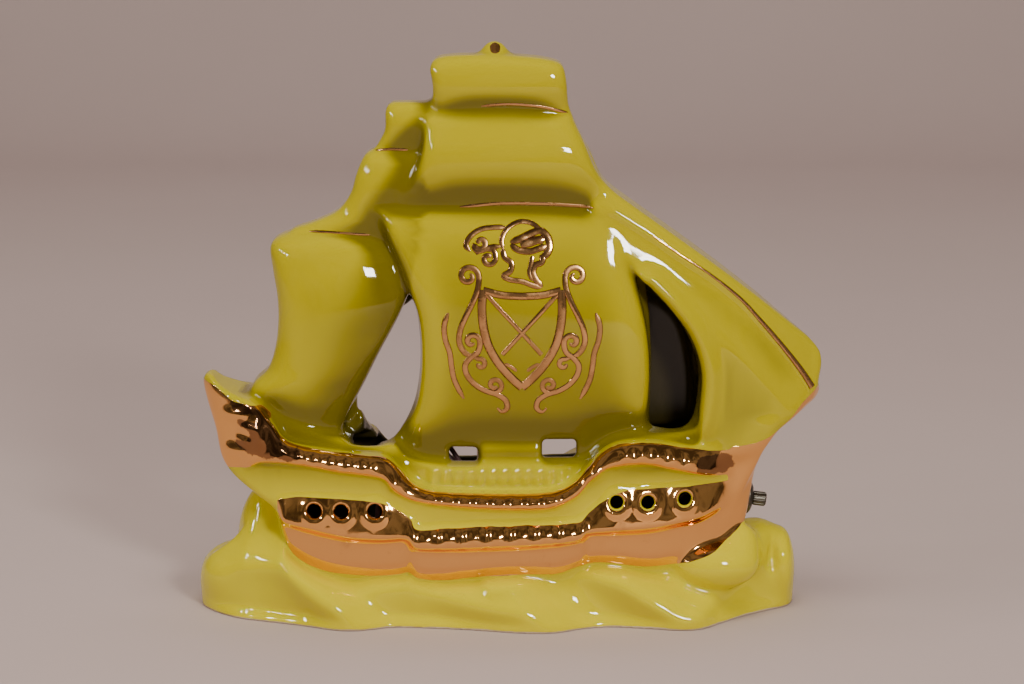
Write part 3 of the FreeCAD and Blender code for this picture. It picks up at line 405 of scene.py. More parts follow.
def sea():
    """The rolling sea: a wavy foot whose ridges run up and aft, with a crest at each end."""
    plan = distance_2d(FOOTPRINT, PX, PY).astype(np.float32)
    steps = np.arange(len(axes[0]), dtype=np.float32)
    foot = np.empty((len(axes[0]), len(axes[1]), len(axes[2])), np.float32)
    fade = 1 - ramp(np.abs(axes[0]), 92, 140)
    for k, z in enumerate(axes[2]):
        slide = 1.15 * min(max(float(z) - 5, 0), 26) * fade / CELL
        source = np.clip(steps + slide, 0, len(steps) - 1.001)
        low = source.astype(int)
        part = (source - low)[:, None]
        foot[:, :, k] = plan[low] * (1 - part) + plan[low + 1] * part
    foot += 0.012 * np.clip(GZ - 8, 0, None) ** 2
    swell = np.full(FX.shape, TROUGH)
    for line, height, width in WAVE_RIDGES:
        swell = np.maximum(swell, TROUGH + height * np.exp(-(near_line(line, FX, FZ) / width) ** 2))
    swell = swell * ramp(FZ, 0, 7)
    foot -= over(swell) * (1 - ramp(GY, -30, 5))
    front = 1 - ramp(PY, -16, 4)
    waterline = along(BELT_FOOT, PX) - 1.0
    behind = 26 + 3.5 * ramp(-PX, 95, 140)
    crest = waterline * front + behind * (1 - front) + 2.0 * ramp(PX, 80, 130)
    crest = np.minimum(crest, CREST_LIMIT) - 0.02 * np.clip(-40 - PY, 0, None) ** 2
    lid = GZ - crest.astype(np.float32)[:, :, None] - 0.8 * over(swell)
    mass = meet(foot, lid, 13.0)
    stern = blob((-119, 7, 33), (18, 22, 31))
    stern = union(stern, blob((-137.0, 6, 16), (15, 20, 13)), 8)
    bow = blob((125, 8, 26), (17.5, 20, 17.5))
    curl = blob((133.5, -6, 24), (4.0, 12, 12))
    bow = meet(bow, -curl, 4.0)
    ridge = blob((139.5, 8, 20), (6, 17, 18))
    mass = union(mass, stern, 9)
    mass = union(mass, blob((103, -22, 27), (22, 14, 12.5)), 6)
    mass = union(mass, blob((114, -13, 34), (12, 12, 13)), 6)
    return union(union(mass, bow, 8), ridge, 4)


def cylinder_field(centre, axis, radius, start, end):
    """A round plug about an axis, from one distance along it to another."""
    ax = np.array(axis, float)
    ax /= np.linalg.norm(ax)
    dx, dy, dz = GX - centre[0], GY - centre[1], GZ - centre[2]
    t = dx * ax[0] + dy * ax[1] + dz * ax[2]
    r = np.sqrt(np.maximum((dx - t * ax[0]) ** 2 + (dy - t * ax[1]) ** 2 + (dz - t * ax[2]) ** 2, 0))
    return np.maximum(r - radius, np.maximum(start - t, t - end))


def box_field(low, high):
    """A block between two corners."""
    return np.maximum.reduce([
        np.maximum(low[0] - GX, GX - high[0]) + 0 * GY + 0 * GZ,
        np.maximum(low[1] - GY, GY - high[1]) + 0 * GX + 0 * GZ,
        np.maximum(low[2] - GZ, GZ - high[2]) + 0 * GX + 0 * GY])


def blurred(field):
    """The field averaged with its neighbours along each axis: glaze rounds every edge a little."""
    for axis in range(3):
        before = np.take(field, [0] + list(range(field.shape[axis] - 1)), axis)
        after = np.take(field, list(range(1, field.shape[axis])) + [field.shape[axis] - 1], axis)
        field = 0.25 * before + 0.5 * field + 0.25 * after
    return field


SWITCH = next(j for j in frame["joints"] if j["name"] == "knob_turn")
SWITCH_SEAT = np.array(SWITCH["pos_m"]) / MM
SWITCH_AXIS = np.array(SWITCH["axis"])
INLET = next(m for m in frame["record"]["mounts"] if m["name"] == "cord_inlet")
FINIAL = (-6.5, -2.0, 281.0)
PAD_Y, PAD_BACK_Y, PAD_Z = 38.2, 42.0, 44.0            # flats that the bracket's screw clamps
PORTHOLE_RADIUS, LIGHT_CORNER = 3.1, 2.0
SEAT_WALL = 5.5
GROMMET_SEAT_Y, GROMMET_WALL = 40.6, 3.6
BACK_PLANE = 5.0


def ceramic_body():
    """The casting's distance field: the ship, its hollow, and everything cut through its wall."""
    ship = union(union(sea(), hull(), 1.6), ship_sails(), 5.0)
    finial = union(blob(FINIAL, (5.9, 5.9, 5.6)), blob((-6.5, -2, 278.5), (9, 8, 4.0)), 3)
    ship = union(ship, finial, 2.0)
    boss = cylinder_field(SWITCH_SEAT, SWITCH_AXIS, 10.0, -11.0, 0.0)
    ship = blurred(blurred(union(ship, boss, 2.0)))
    cavity = ship + WALL
    thin_inside = ship + LEAST_WALL
    ship = np.maximum(ship, -GZ)
    cavity = np.maximum(cavity, -(GZ + 40))
    plan = distance_2d(FOOTPRINT, PX, PY).astype(np.float32)[:, :, None]
    open_foot = meet(plan + FOOT_RIM, GZ - 12.0, 4.0)
    cavity = union(cavity, np.maximum(open_foot, thin_inside), 3.0)
    well = meet(plan + 17.0, GZ - 34.0, 4.0)
    cavity = union(cavity, np.maximum(well, ship + WALL), 1.0)
    solid = meet(ship, -cavity, 1.5)
    inlet = np.array(INLET["pos_m"]) / MM
    inlet_back = (inlet[0], 0.0, inlet[2])
    pads = [np.maximum(box_field((-13, PAD_Y, PAD_Z - 11), (13, 60, 66)), ship),
            np.maximum(cylinder_field(SWITCH_SEAT, SWITCH_AXIS, 10.0, -SEAT_WALL, 0.0), ship),
            np.maximum(cylinder_field(inlet_back, (0, 1, 0), 9.0, GROMMET_SEAT_Y - GROMMET_WALL, 60), ship)]
    for pad in pads:
        solid = np.minimum(solid, pad)
    cuts = [meet(elevation(STERN_WINDOW), GY - BACK_PLANE, 2.0),
            meet(elevation(BOW_WINDOW), GY - BACK_PLANE, 2.0),
            meet(elevation(BACK_OPENING), BACK_PLANE - GY, 2.0)]
    for (x, z), (half_x, half_z) in DECK_LIGHTS:
        off = np.hypot(np.maximum(np.abs(FX - x) - half_x + LIGHT_CORNER, 0),
                       np.maximum(np.abs(FZ - z) - half_z + LIGHT_CORNER, 0))
        cuts.append(np.maximum(over(off - LIGHT_CORNER), GY - BACK_PLANE))
    for x, z in PORTHOLES:
        cuts.append(cylinder_field((x, -50, z), (0, 1, 0), PORTHOLE_RADIUS, 0, 30))
    for cut in cuts:
        solid = meet(solid, -cut, 3.0)
    fits = [box_field((-13, PAD_Y - 14, PAD_Z - 11), (13, PAD_Y, 66)),
            cylinder_field((0, 0, PAD_Z), (0, 1, 0), 2.3, 20, 60),
            cylinder_field((0, 0, PAD_Z), (0, 1, 0), 7.0, PAD_BACK_Y, 60),
            cylinder_field(SWITCH_SEAT, SWITCH_AXIS, 5.1, -30, 20),
            cylinder_field(SWITCH_SEAT, SWITCH_AXIS, 9.5, 0, 14),
            cylinder_field(SWITCH_SEAT, SWITCH_AXIS, 10.8, -30, -SEAT_WALL),
            cylinder_field(inlet_back, (0, 1, 0), 5.0, 20, 60),
            cylinder_field(inlet_back, (0, 1, 0), 8.2, GROMMET_SEAT_Y, 60),
            cylinder_field(inlet_back, (0, 1, 0), 8.2, 15, GROMMET_SEAT_Y - GROMMET_WALL)]
    for fit in fits:
        solid = np.maximum(solid, -fit)
    return solid.astype(np.float32), ship.astype(np.float32)


def sample(field, points, cell=CELL):
    """A field read between its cells, at points in millimetres."""
    place = (points - LOW) / cell
    place = np.clip(place, 0, np.array(field.shape) - 1.001)
    low = place.astype(int)
    part = place - low
    total = np.zeros(len(points))
    for corner in range(8):
        pick = np.array([(corner >> 2) & 1, (corner >> 1) & 1, corner & 1])
        weight = np.prod(np.where(pick, part, 1 - part), axis=1)
        at = low + pick
        total += weight * field[at[:, 0], at[:, 1], at[:, 2]]
    return total


def slope(field, points, reach=0.7):
    """The direction in which a field grows, at points."""
    step = reach * CELL
    grow = np.stack([sample(field, points + step * unit) - sample(field, points - step * unit)
                     for unit in np.eye(3)], axis=1)
    return grow / np.maximum(np.linalg.norm(grow, axis=1, keepdims=True), 1e-9)


def keep_mesh(name, mesh):
    old = bpy.data.objects.get(name)
    if old:
        bpy.data.objects.remove(old)
    piece = bpy.data.objects.new(name, mesh)
    bpy.context.scene.collection.objects.link(piece)
    return piece


def settle(piece):
    """The piece with its modifiers worked out and taken off."""
    graph = bpy.context.evaluated_depsgraph_get()
    mesh = bpy.data.meshes.new_from_object(piece.evaluated_get(graph), preserve_all_data_layers=True,
                                           depsgraph=graph)
    piece.modifiers.clear()
    old = piece.data
    piece.data = mesh
    bpy.data.meshes.remove(old)
    mesh.name = piece.name
    return piece


def mesh_of(field):
    grid = openvdb.FloatGrid(3.0 * CELL)
    grid.copyFromArray(np.clip(field, -3 * CELL, 3 * CELL))
    points, triangles, quads = grid.convertToPolygons(0.0, 0.0)
    mesh = bpy.data.meshes.new("ceramic_ship_glazed")
    faces = quads.tolist() + triangles.tolist()
    mesh.from_pydata(((points * CELL + LOW) * MM).tolist(), [], faces)
    mesh.update()
    return mesh


BOW_GOLD = [(109.5, 88), (109.5, 88), (119, 88.6), (129.5, 92), (140, 100.2), (146.5, 107.5), (151, 111),
            (155, 114.6), (160, 114), (160, 114), (160, 90), (124, 48), (124, 48), (117.5, 47.5),
            (109.5, 41), (109.5, 41)]
TRANSOM_GOLD = [(-160, 118.5), (-160, 118.5), (-149, 117.2), (-143, 114.2), (-136, 109.8),
                (-129.6, 109.2), (-122, 107.8), (-117, 104), (-117, 104), (-117, 81), (-117, 81),
                (-122, 80.8), (-125.5, 79.3), (-129, 77.6), (-133.5, 76.8), (-141, 76), (-160, 78),
                (-160, 78)]
# Where the gold is painted dark brown as shade: between the transom's carvings, and a patch at the bow.
DARK_TRANSOM = [(-139, 110), (-128, 108.5), (-119.5, 106), (-115, 98), (-110, 91), (-102, 88),
                (-104, 83.5), (-118, 84), (-133, 86.5), (-135.5, 90), (-129, 92), (-128, 96), (-134, 99),
                (-133, 102), (-124, 101), (-126, 104), (-134, 105)]
DARK_BOW = [(95, 84), (103, 85), (112, 84), (112, 84), (112, 77.5), (105, 74.5), (97, 75), (93, 79)]


BARE_RING, GILT_BACK, RAIL_LEDGE_GOLD = 3.9, 3.0, 5.0


def gilding(points):
    """How far inside the gilded areas each point is, in millimetres; negative outside them."""
    x, y, z = points.T
    rail = np.minimum(z - along(RAIL_FOOT, x), along(RAIL_TOP, x) - z)
    rail = np.minimum(rail, np.minimum(x + 118, 112 - x))
    rail = np.minimum(rail, RAIL_LEDGE_GOLD - along(HULL_HALF_DEPTH, x) - y)
    belt = np.minimum(z - along(BELT_FOOT, x), along(BELT_TOP, x) - z)
    belt = np.minimum(belt, np.minimum(x + 114, 119 - x))
    front = np.maximum.reduce([rail, belt, -distance_2d(BOW_GOLD, x, z), -distance_2d(TRANSOM_GOLD, x, z)])
    for px, pz in PORTHOLES[3:]:
        front = np.minimum(front, np.hypot(x - px, z - pz) - BARE_RING)
    finial = 2.6 - np.hypot(x - FINIAL[0] - 0.4, z - FINIAL[2] - 2.4)
    return np.minimum(np.maximum(front, finial), GILT_BACK - y)


def darkened(points):
    """The same for where the gold is painted dark brown as shade: between the transom's carvings and on a patch at
    the bow.
    """
    x, _, z = points.T
    return np.maximum(-distance_2d(DARK_TRANSOM, x, z), -distance_2d(DARK_BOW, x, z))


POOL_BLURS, SHADE_CELL, SHADE_BLURS = 5, 4.4, 7
OPEN_SHADE = -0.9                 # the painted crease shade of a surface that nothing overhangs
MAIN_AFT_EDGE = [(90, -74), (130, -62), (165, -52), (195, -46), (230, -43), (255, -42)]      # height and X of the main course's aft edge, beside which the mizzen gets painted lee shade


def ceramic_ship():
    """The casting's mesh, with what the glaze and its painted shade need to know at each point of it."""
    solid, ship = ceramic_body()
    piece = keep_mesh("ceramic_ship_glazed", mesh_of(solid))
    count = sum(len(p.vertices) - 2 for p in piece.data.polygons)
    if count > TRIANGLES:
        thin = piece.modifiers.new("thin", "DECIMATE")
        thin.ratio = TRIANGLES / count
        settle(piece)
    mesh = piece.data
    spots = np.empty(len(mesh.vertices) * 3, np.float32)
    mesh.vertices.foreach_get("co", spots)
    spots = spots.reshape(-1, 3).astype(float) / MM
    spots[:, 2] = np.maximum(spots[:, 2], 0.0)
    mesh.vertices.foreach_set("co", (spots * MM).ravel())
    out = slope(blurred(solid), spots)
    # How far each point lies in a small recess: the glaze pools there, and painted shade darkens it too.
    soft = solid
    for _ in range(POOL_BLURS):
        soft = blurred(soft)
    pooled_and_shaded = sample(solid, spots) - sample(soft, spots)
    mesh.shade_smooth()
    mesh.normals_split_custom_set_from_vertices(out.tolist())
    inside = sample(ship, spots)
    # Painted shade: the sails darken in their broad creases, on the mizzen's side next to the main course, and
    # where they face down.
    stride = round(SHADE_CELL / CELL)
    coarse = ship[::stride, ::stride, ::stride]
    wide = coarse
    for _ in range(SHADE_BLURS):
        wide = blurred(wide)
    painted_shade = sample(coarse - wide, spots, stride * CELL)
    aft_x = np.interp(spots[:, 2], *zip(*MAIN_AFT_EDGE))
    off_main = spots[:, 0] - aft_x
    lee = ramp(off_main, -38, -8) * (1 - ramp(off_main, 2, 6)) * ramp(spots[:, 2], 95, 120)
    under = np.clip((0.35 - out[:, 2]) / 0.9, 0, 1)
    above_rail = ramp(spots[:, 2], 70, 84)
    painted_shade = (painted_shade - OPEN_SHADE + 1.3 * lee + 1.1 * under) * above_rail + OPEN_SHADE
    for name, values in (("gilt", gilding(spots)), ("pool_and_shade", pooled_and_shaded), ("depth", -inside),
                         ("dark", darkened(spots)), ("crease_shade", painted_shade)):
        layer = mesh.attributes.new(name, "FLOAT", "POINT")
        layer.data.foreach_set("value", values.astype(np.float32))
    return piece, ship


# ------------------------------------------------------------------ materials
class Feed:
    """A shader socket that can be written into sums: each operator adds a Math node."""

    def __init__(self, tree, socket):
        self.tree = tree
        self.socket = socket

    def node(self, kind, settings=None, **inputs):
        """Any node: its settings first, then the values or feeds of its sockets."""
        made = self.tree.nodes.new(kind)
        for key, value in (settings or {}).items():
            setattr(made, key, value)
        for key, value in inputs.items():
            where = int(key[1:]) if key[0] == "i" and key[1:].isdigit() else key.replace("_", " ")
            socket = made.inputs[where]
            if isinstance(value, Feed):
                self.tree.links.new(value.socket, socket)
            else:
                socket.default_value = value
        return made

    def make(self, kind, settings=None, out=0, **inputs):
        return Feed(self.tree, self.node(kind, settings, **inputs).outputs[out])

    def math(self, operation, other=None, third=None):
        inputs = {"i0": self}
        if other is not None:
            inputs["i1"] = other
        if third is not None:
            inputs["i2"] = third
        return self.make("ShaderNodeMath", {"operation": operation}, **inputs)

    def flipped(self, operation, other):
        return self.make("ShaderNodeMath", {"operation": operation}, i0=other, i1=self)

    def __add__(self, other):
        return self.math("ADD", other)

    __radd__ = __add__

    def __mul__(self, other):
        return self.math("MULTIPLY", other)

    __rmul__ = __mul__

    def __sub__(self, other):
        return self.math("SUBTRACT", other)

    def __rsub__(self, other):
        return self.flipped("SUBTRACT", other)

    def between(self, low, high):
        """Nought below low, one above high, and a smooth step in between."""
        return self.make("ShaderNodeMapRange", {"interpolation_type": "SMOOTHSTEP"}, Value=self,
                         From_Min=low, From_Max=high)

    def mix(self, first, second):
        """A colour that goes from the first to the second as this feed goes from nought to one."""
        return self.make("ShaderNodeMix", {"data_type": "RGBA"}, out=2, i0=self, i6=first, i7=second)


def new_material(name):
    """A material with its shader, and a feed to build on."""
    made = bpy.data.materials.new(name)
    made.use_nodes = True
    tree = made.node_tree
    shader = tree.nodes["Principled BSDF"]
    return made, shader, Feed(tree, None)


def own_place(feed):
    return feed.make("ShaderNodeTexCoord", out="Object")


def noise(feed, scale, detail=3.0, rough=0.55, where=None, stretch=None):
    where = where or own_place(feed)
    if stretch:
        where = feed.make("ShaderNodeMapping", Vector=where, Scale=stretch)
    return feed.make("ShaderNodeTexNoise", out="Fac", Vector=where, Scale=scale, Detail=detail,
                     Roughness=rough)


def bump(feed, height, distance, strength=1.0):
    return feed.make("ShaderNodeBump", Height=height, Distance=distance, Strength=strength)


def wire_up(feed, shader, **sockets):
    for key, value in sockets.items():
        socket = shader.inputs[key.replace("_", " ")]
        if isinstance(value, Feed):
            feed.tree.links.new(value.socket, socket)
        else:
            socket.default_value = value


def attribute(feed, name):
    return feed.make("ShaderNodeAttribute", {"attribute_name": name}, out="Fac")


GLAZE = (0.50, 0.405, 0.0, 1)
GLAZE_THIN = (0.60, 0.50, 0.02, 1)
# Pooled glaze, which also serves as painted shade in creases and under the sails.
GLAZE_POOLED_AND_SHADED = (0.165, 0.128, 0.0, 1)
# Painted light on the glaze low down.
GLAZE_PAINTED_LIGHT = (0.74, 0.62, 0.004, 1)
GOLD = (1.0, 0.51, 0.16, 1)
GOLD_DARK = (0.50, 0.24, 0.10, 1)
# Painted shade on the gold.
GOLD_PAINTED_SHADE = (0.22, 0.10, 0.05, 1)
BISQUE = (0.62, 0.50, 0.36, 1)
# Painted shade inside the hollow.
INSIDE_PAINTED_SHADE = (0.035, 0.026, 0.005, 1)


def glaze_with_gilding():
    """Clear chartreuse glaze, thin on edges, pooled and with painted shade in creases and under the sails, painted
    light low down and painted shade inside; gold lustre from the kiln, painted dark as shade in places; a dry
    foot.
    """
    made, shader, feed = new_material("chartreuse_glaze_and_gold")
    pool_and_shade = attribute(feed, "pool_and_shade")
    drift = noise(feed, 14, 3)
    specks = noise(feed, 420, 2)
    # Painted shade: the glaze darkens towards the sails' creases, lee side and down-facing parts.
    crease_shade = (attribute(feed, "crease_shade") + (drift - 0.5) * 0.4).between(-0.9, 1.25)
    colour = crease_shade.mix(GLAZE, GLAZE_POOLED_AND_SHADED)
    # Pooled glaze with painted shade in small recesses.
    colour = ((pool_and_shade + (drift - 0.5) * 0.2).between(-0.15, 0.7) * 0.6).mix(colour, GLAZE_POOLED_AND_SHADED)
    colour = ((pool_and_shade * -1.0 + (drift - 0.5) * 0.1).between(0.62, 1.0) * 0.7).mix(colour, GLAZE_THIN)
    height = feed.make("ShaderNodeSeparateXYZ", out="Z", Vector=own_place(feed))
    # Painted light: the glaze is lighter below 60 mm, fading out by 85 mm.
    colour = ((1 - height.between(0.06, 0.085)) * 0.8).mix(colour, GLAZE_PAINTED_LIGHT)
    # Painted shade: the glaze goes near-black a few millimetres inside the hollow, where it is also rougher.
    within = attribute(feed, "depth").between(1.5, 4.0)
    colour = within.mix(colour, INSIDE_PAINTED_SHADE)
    foot = (height + (noise(feed, 60, 3) - 0.5) * 0.0016).between(0.0007, 0.0013)
    colour = (1 - foot).mix(colour, BISQUE)
    ragged = attribute(feed, "gilt") + (noise(feed, 90, 3) - 0.5) * 1.1
    gilt = ragged.between(-0.12, 0.12)
    rubbed = noise(feed, 55, 4, 0.6).between(0.60, 0.72)
    # Painted shade: the gold goes dark brown between the transom's carvings and on a patch at the bow.
    gold_shade = (attribute(feed, "dark") + (noise(feed, 130, 4, 0.65) - 0.5) * 7.0).between(-0.2, 0.5)
    gold = (rubbed * 0.3).mix(GOLD, GOLD_DARK)
    gold = (gold_shade * 0.85).mix(gold, GOLD_PAINTED_SHADE)
    colour = gilt.mix(colour, gold)
    ripple = noise(feed, 45, 2, 0.4) * (0.25 + 0.5 * gilt) + specks * 0.02
    wire_up(feed, shader, Base_Color=colour, Metallic=gilt,
            Roughness=(1 - foot) * 0.6 + within * 0.25 + 0.045 + gilt * (0.03 + 0.10 * rubbed),
            Normal=bump(feed, ripple, 0.00022))
    wire_up(feed, shader, IOR=1.5, Coat_Roughness=0.02)
    return made


def metal(name, colour, tarnish, roughness, grain=None):
    made, shader, feed = new_material(name)
    worn = noise(feed, 160, 4).between(0.42, 0.68)
    scratch = noise(feed, 900, 2, stretch=grain or (1, 1, 8))
    wire_up(feed, shader, Base_Color=worn.mix(colour, tarnish), Metallic=1.0,
            Roughness=roughness + 0.22 * worn + 0.1 * scratch, Normal=bump(feed, scratch, 0.00003, 0.6))
    return made


def moulded(name, colour, other, roughness, pit=0.00005):
    made, shader, feed = new_material(name)
    patch = noise(feed, 120, 3)
    grain = noise(feed, 500, 3)
    wire_up(feed, shader, Base_Color=patch.between(0.35, 0.7).mix(colour, other),
            Roughness=roughness + 0.15 * patch, Normal=bump(feed, grain, pit))
    return made


def frosted_glass():
    made, shader, feed = new_material("frosted_bulb_glass")
    frost = noise(feed, 700, 2)
    wire_up(feed, shader, Base_Color=frost.mix((0.93, 0.93, 0.9, 1), (0.8, 0.8, 0.77, 1)),
            Roughness=0.35 + 0.15 * frost, Normal=bump(feed, frost, 0.00003))
    wire_up(feed, shader, Transmission_Weight=0.35, Subsurface_Weight=0.2)
    return made


def clear_glass():
    made, shader, feed = new_material("stem_glass")
    tint = noise(feed, 80, 2).mix((0.9, 0.95, 0.94, 1), (0.8, 0.88, 0.87, 1))
    wire_up(feed, shader, Base_Color=tint, Roughness=0.08)
    wire_up(feed, shader, Transmission_Weight=0.8)
    return made


BRASS = (0.62, 0.42, 0.16, 1), (0.30, 0.17, 0.06, 1)
STEEL = (0.50, 0.49, 0.46, 1), (0.28, 0.25, 0.21, 1)


def finish_hardware():
    """Every CAD node that stays gets the finish of its material slot."""
    finishes = {
        "zinc_strip": metal("zinc_plated_strip", *STEEL, 0.32, (1, 12, 12)),
        "screw_steel": metal("plated_screw_steel", *STEEL, 0.28),
        "red_fibre": moulded("red_fibre", (0.22, 0.05, 0.03, 1), (0.30, 0.09, 0.05, 1), 0.6),
        "nipple_brass": metal("nipple_brass", *BRASS, 0.3),
        "socket_brass": metal("socket_shell_brass", *BRASS, 0.22, (12, 12, 1)),
        "liner_fibre": moulded("liner_fibre", (0.12, 0.07, 0.04, 1), (0.18, 0.11, 0.06, 1), 0.7),
        "phenolic": moulded("black_phenolic", (0.02, 0.016, 0.014, 1), (0.035, 0.026, 0.02, 1), 0.25),
        "contact_brass": metal("contact_brass", *BRASS, 0.28),
        "bulb_frosted_glass": frosted_glass(),
        "bulb_base_metal": metal("bulb_base_aluminium", (0.68, 0.68, 0.66, 1), (0.42, 0.41, 0.38, 1), 0.3),
        "bulb_black_glass": moulded("bulb_black_glass", (0.006, 0.006, 0.008, 1), (0.02, 0.018, 0.02, 1),
                                    0.1),
        "solder": metal("tip_solder", (0.5, 0.5, 0.5, 1), (0.3, 0.3, 0.3, 1), 0.4),
        "stem_glass": clear_glass(),
        "tungsten": metal("tungsten", (0.2, 0.2, 0.2, 1), (0.1, 0.1, 0.1, 1), 0.4),
        "switch_bakelite": moulded("switch_bakelite", (0.03, 0.014, 0.008, 1), (0.05, 0.025, 0.014, 1),
                                   0.3),
        "dark_bronze": metal("dark_bronzed_brass", (0.16, 0.145, 0.12, 1), (0.07, 0.06, 0.045, 1), 0.32),
        "rubber_black": moulded("grommet_rubber", (0.018, 0.018, 0.018, 1), (0.035, 0.033, 0.03, 1), 0.6,
                                0.0001),
        "brown_insulation": moulded("brown_lead_covering", (0.13, 0.06, 0.055, 1), (0.19, 0.09, 0.085, 1),
                                    0.4),
        "splice_ceramic": moulded("splice_cap_moulding", (0.6, 0.53, 0.42, 1), (0.7, 0.64, 0.52, 1), 0.45),
    }
    slots = {part["node"]: part["material_slot"] for part in frame["record"]["subparts"]}
    for node, piece in frame["nodes"].items():
        if slots[node] in finishes:
            piece.data.materials.clear()
            piece.data.materials.append(finishes[slots[node]])


# ------------------------------------------------------------------ gold lines laid on the glaze
def stroke(points, width, thin_ends=True):
    """A line of gold: its points, its half width or how that runs, and whether its ends thin out."""
    return points, width, thin_ends


def curl(centre, radius, start, turns, inner=0.25):
    """Points of a scroll that winds in from a radius towards its centre."""
    count = max(6, int(abs(turns) * 12))
    out = []
    for k in range(count + 1):
        t = k / count
        r = radius * (1 - (1 - inner) * t)
        a = math.radians(start) + 2 * math.pi * turns * t
        out.append((centre[0] + r * math.cos(a), centre[1] + r * math.sin(a)))
    return out


CREST_X = 7.0
SHIELD_SIDE = [(26, 167.5), (26.6, 158), (25.6, 148), (23, 139), (18, 130.5), (12.5, 124), (7, 118.8)]


def crest_strokes():
    """A shield with a saltire under a plumed helm, between scrolls: one half, and its mirror image."""
    half = [
        stroke(SHIELD_SIDE, 2.2, False),
        stroke([(26, 167.2), (17, 165), (7, 164.4)], 1.9, False),
        stroke([(24.5, 165.5), (15, 155), (7, 146.3), (-2.6, 135.6)], 1.15, False),
        stroke([(15.5, 131), (12.5, 129.5), (9.5, 127.2)], 0.9),
        stroke(curl((33.2, 174), 5.2, 190, -1.2)[::-1]
               + [(28.6, 168), (31, 161.5), (34.4, 154.5), (37.2, 147.5), (37.6, 141), (34.6, 136),
                  (29.5, 134)], 1.5),
        stroke(curl((31.4, 142), 4.0, 195, -0.95)[::-1]
               + [(28.6, 136.8), (32.6, 133.4), (34.8, 130), (34.4, 126), (31, 121), (25.4, 117.2),
                  (19, 115), (15, 112), (14.3, 108), (16.8, 106), (19.2, 108)], 1.5),
        stroke(curl((27.4, 130.6), 2.9, 70, 0.85)[::-1] + [(31, 134)], 1.3),
        stroke(curl((20.4, 120), 3.9, 255, -1.15)[::-1] + [(22.4, 116)], 1.3),
        stroke([(43, 156), (45, 150), (44.6, 143), (42.4, 136), (41.6, 129.5), (40.4, 123), (37.6, 116.5),
                (35.6, 112.8)], 1.45),
    ]
    whole = half + [([(2 * CREST_X - x, z) for x, z in points], w, thin) for points, w, thin in half]
    helm = [
        stroke([(-2.4, 187), (-2.9, 192), (0, 197), (5.5, 200), (11.5, 199.4), (16.8, 195.6)], 1.3),
        stroke([(1.2, 190.4), (6, 192), (11, 194.4), (16, 195.8), (19.6, 192.5), (20.2, 187), (17.6, 183.6),
                (15.4, 183.6)], 1.9),
        stroke([(1.4, 189.4), (5, 186.8), (10.5, 186), (15.5, 187.4), (19, 188.6)], 1.7),
        stroke([(6, 189.4), (10, 190), (14.5, 191.4), (18, 191.6)], 2.2),
        stroke([(17.8, 185.4), (16.4, 180.6), (13.6, 179.6), (12.4, 176), (14.2, 172), (17, 169)], 1.6),
        stroke([(12.2, 184), (11.2, 179.4), (10.6, 175.6), (12.4, 172)], 1.2),
        stroke([(-2.4, 187.4), (-1.6, 183.4), (1.8, 180.4), (1.2, 176.6), (-3, 174.4)], 1.5),
        stroke([(-3.2, 174.2), (1.6, 172.4), (7, 171.6), (12.6, 169.6), (16.4, 168.6)], 1.4),
        stroke([(-1, 197.4), (-7, 197.4), (-13.4, 196.4), (-18.4, 193), (-20.4, 188.6), (-18.4, 186)], 1.4),
        stroke(curl((-13.2, 190), 3.4, 200, 1.0)[::-1] + [(-15.2, 186.4), (-8, 188), (-3, 188.6)], 1.5),
        stroke(curl((-9.4, 182.6), 3.6, 20, -1.0)[::-1] + [(-7, 186.6), (-12, 187), (-15.4, 184.6)], 1.4),
    ]
    return whole + helm


RIGGING_STROKES = [
    stroke([(-12.9, 255.9), (-6, 256.6), (0.9, 256.9), (9, 256.4), (16.7, 255.4), (29.4, 252.4)], 0.85),
    stroke([(-23.5, 206.7), (-14, 207.6), (-4.4, 208.4), (16.7, 208.2), (32, 207.2), (42, 206.2)], 1.0),
    stroke([(-65, 233.2), (-57.5, 234), (-49, 233.8)], 0.7),
    stroke([(-98, 193.2), (-90, 193.2), (-83, 192.8), (-68, 191.8)], 0.7),
]
SPAR_STROKE = [(71, 192.8), (83, 184.4), (98.8, 174), (114.5, 161.3), (125, 149.7), (135.7, 137.1),
               (146.3, 123.3), (151.7, 115)]


def laid_on(strokes, ceramic, field, name, material, thickness):
    """Gold lines that lie on the front of the ship: ribbons swept along each stroke."""
    skin = BVHTree.FromObject(ceramic, bpy.context.evaluated_depsgraph_get())
    places, edges, half_widths = [], [], []
    for points, width, thin_ends in strokes:
        line = smooth_line(points, closed=False, step=0.9)
        first = len(places)
        run = np.linspace(0, 1, len(line))
        taper = np.clip(np.minimum(run, 1 - run) * 8 + 0.35, 0.35, 1) if thin_ends else np.ones(len(line))
        if callable(width):
            taper = width(run)
            width = 1.0
        for (x, z), thin in zip(line, taper):
            hit = skin.ray_cast(Vector((x, -60, z)) * MM, Vector((0, 1, 0)))[0]
            if hit is None:
                continue
            places.append(np.array(hit) / MM)
            half_widths.append(width * float(thin))
        edges += [(i, i + 1) for i in range(first, len(places) - 1)]
    places = np.array(places)
    lie = slope(field, places)
    mesh = bpy.data.meshes.new(name)
    mesh.from_pydata((places * MM).tolist(), edges, [])
    mesh.attributes.new("lie", "FLOAT_VECTOR", "POINT").data.foreach_set(
        "vector", lie.astype(np.float32).ravel())
    mesh.attributes.new("half_width", "FLOAT", "POINT").data.foreach_set(
        "value", np.array(half_widths, np.float32) * MM)
    piece = keep_mesh(name, mesh)
    tree = ribbon_tree()
    swept = piece.modifiers.new("ribbon", "NODES")
    swept.node_group = tree
    for item in tree.interface.items_tree:
        if item.name == "Flatness":
            swept[item.identifier] = thickness
        if item.name == "Finish":
            swept[item.identifier] = material
    settle(piece)
    return piece


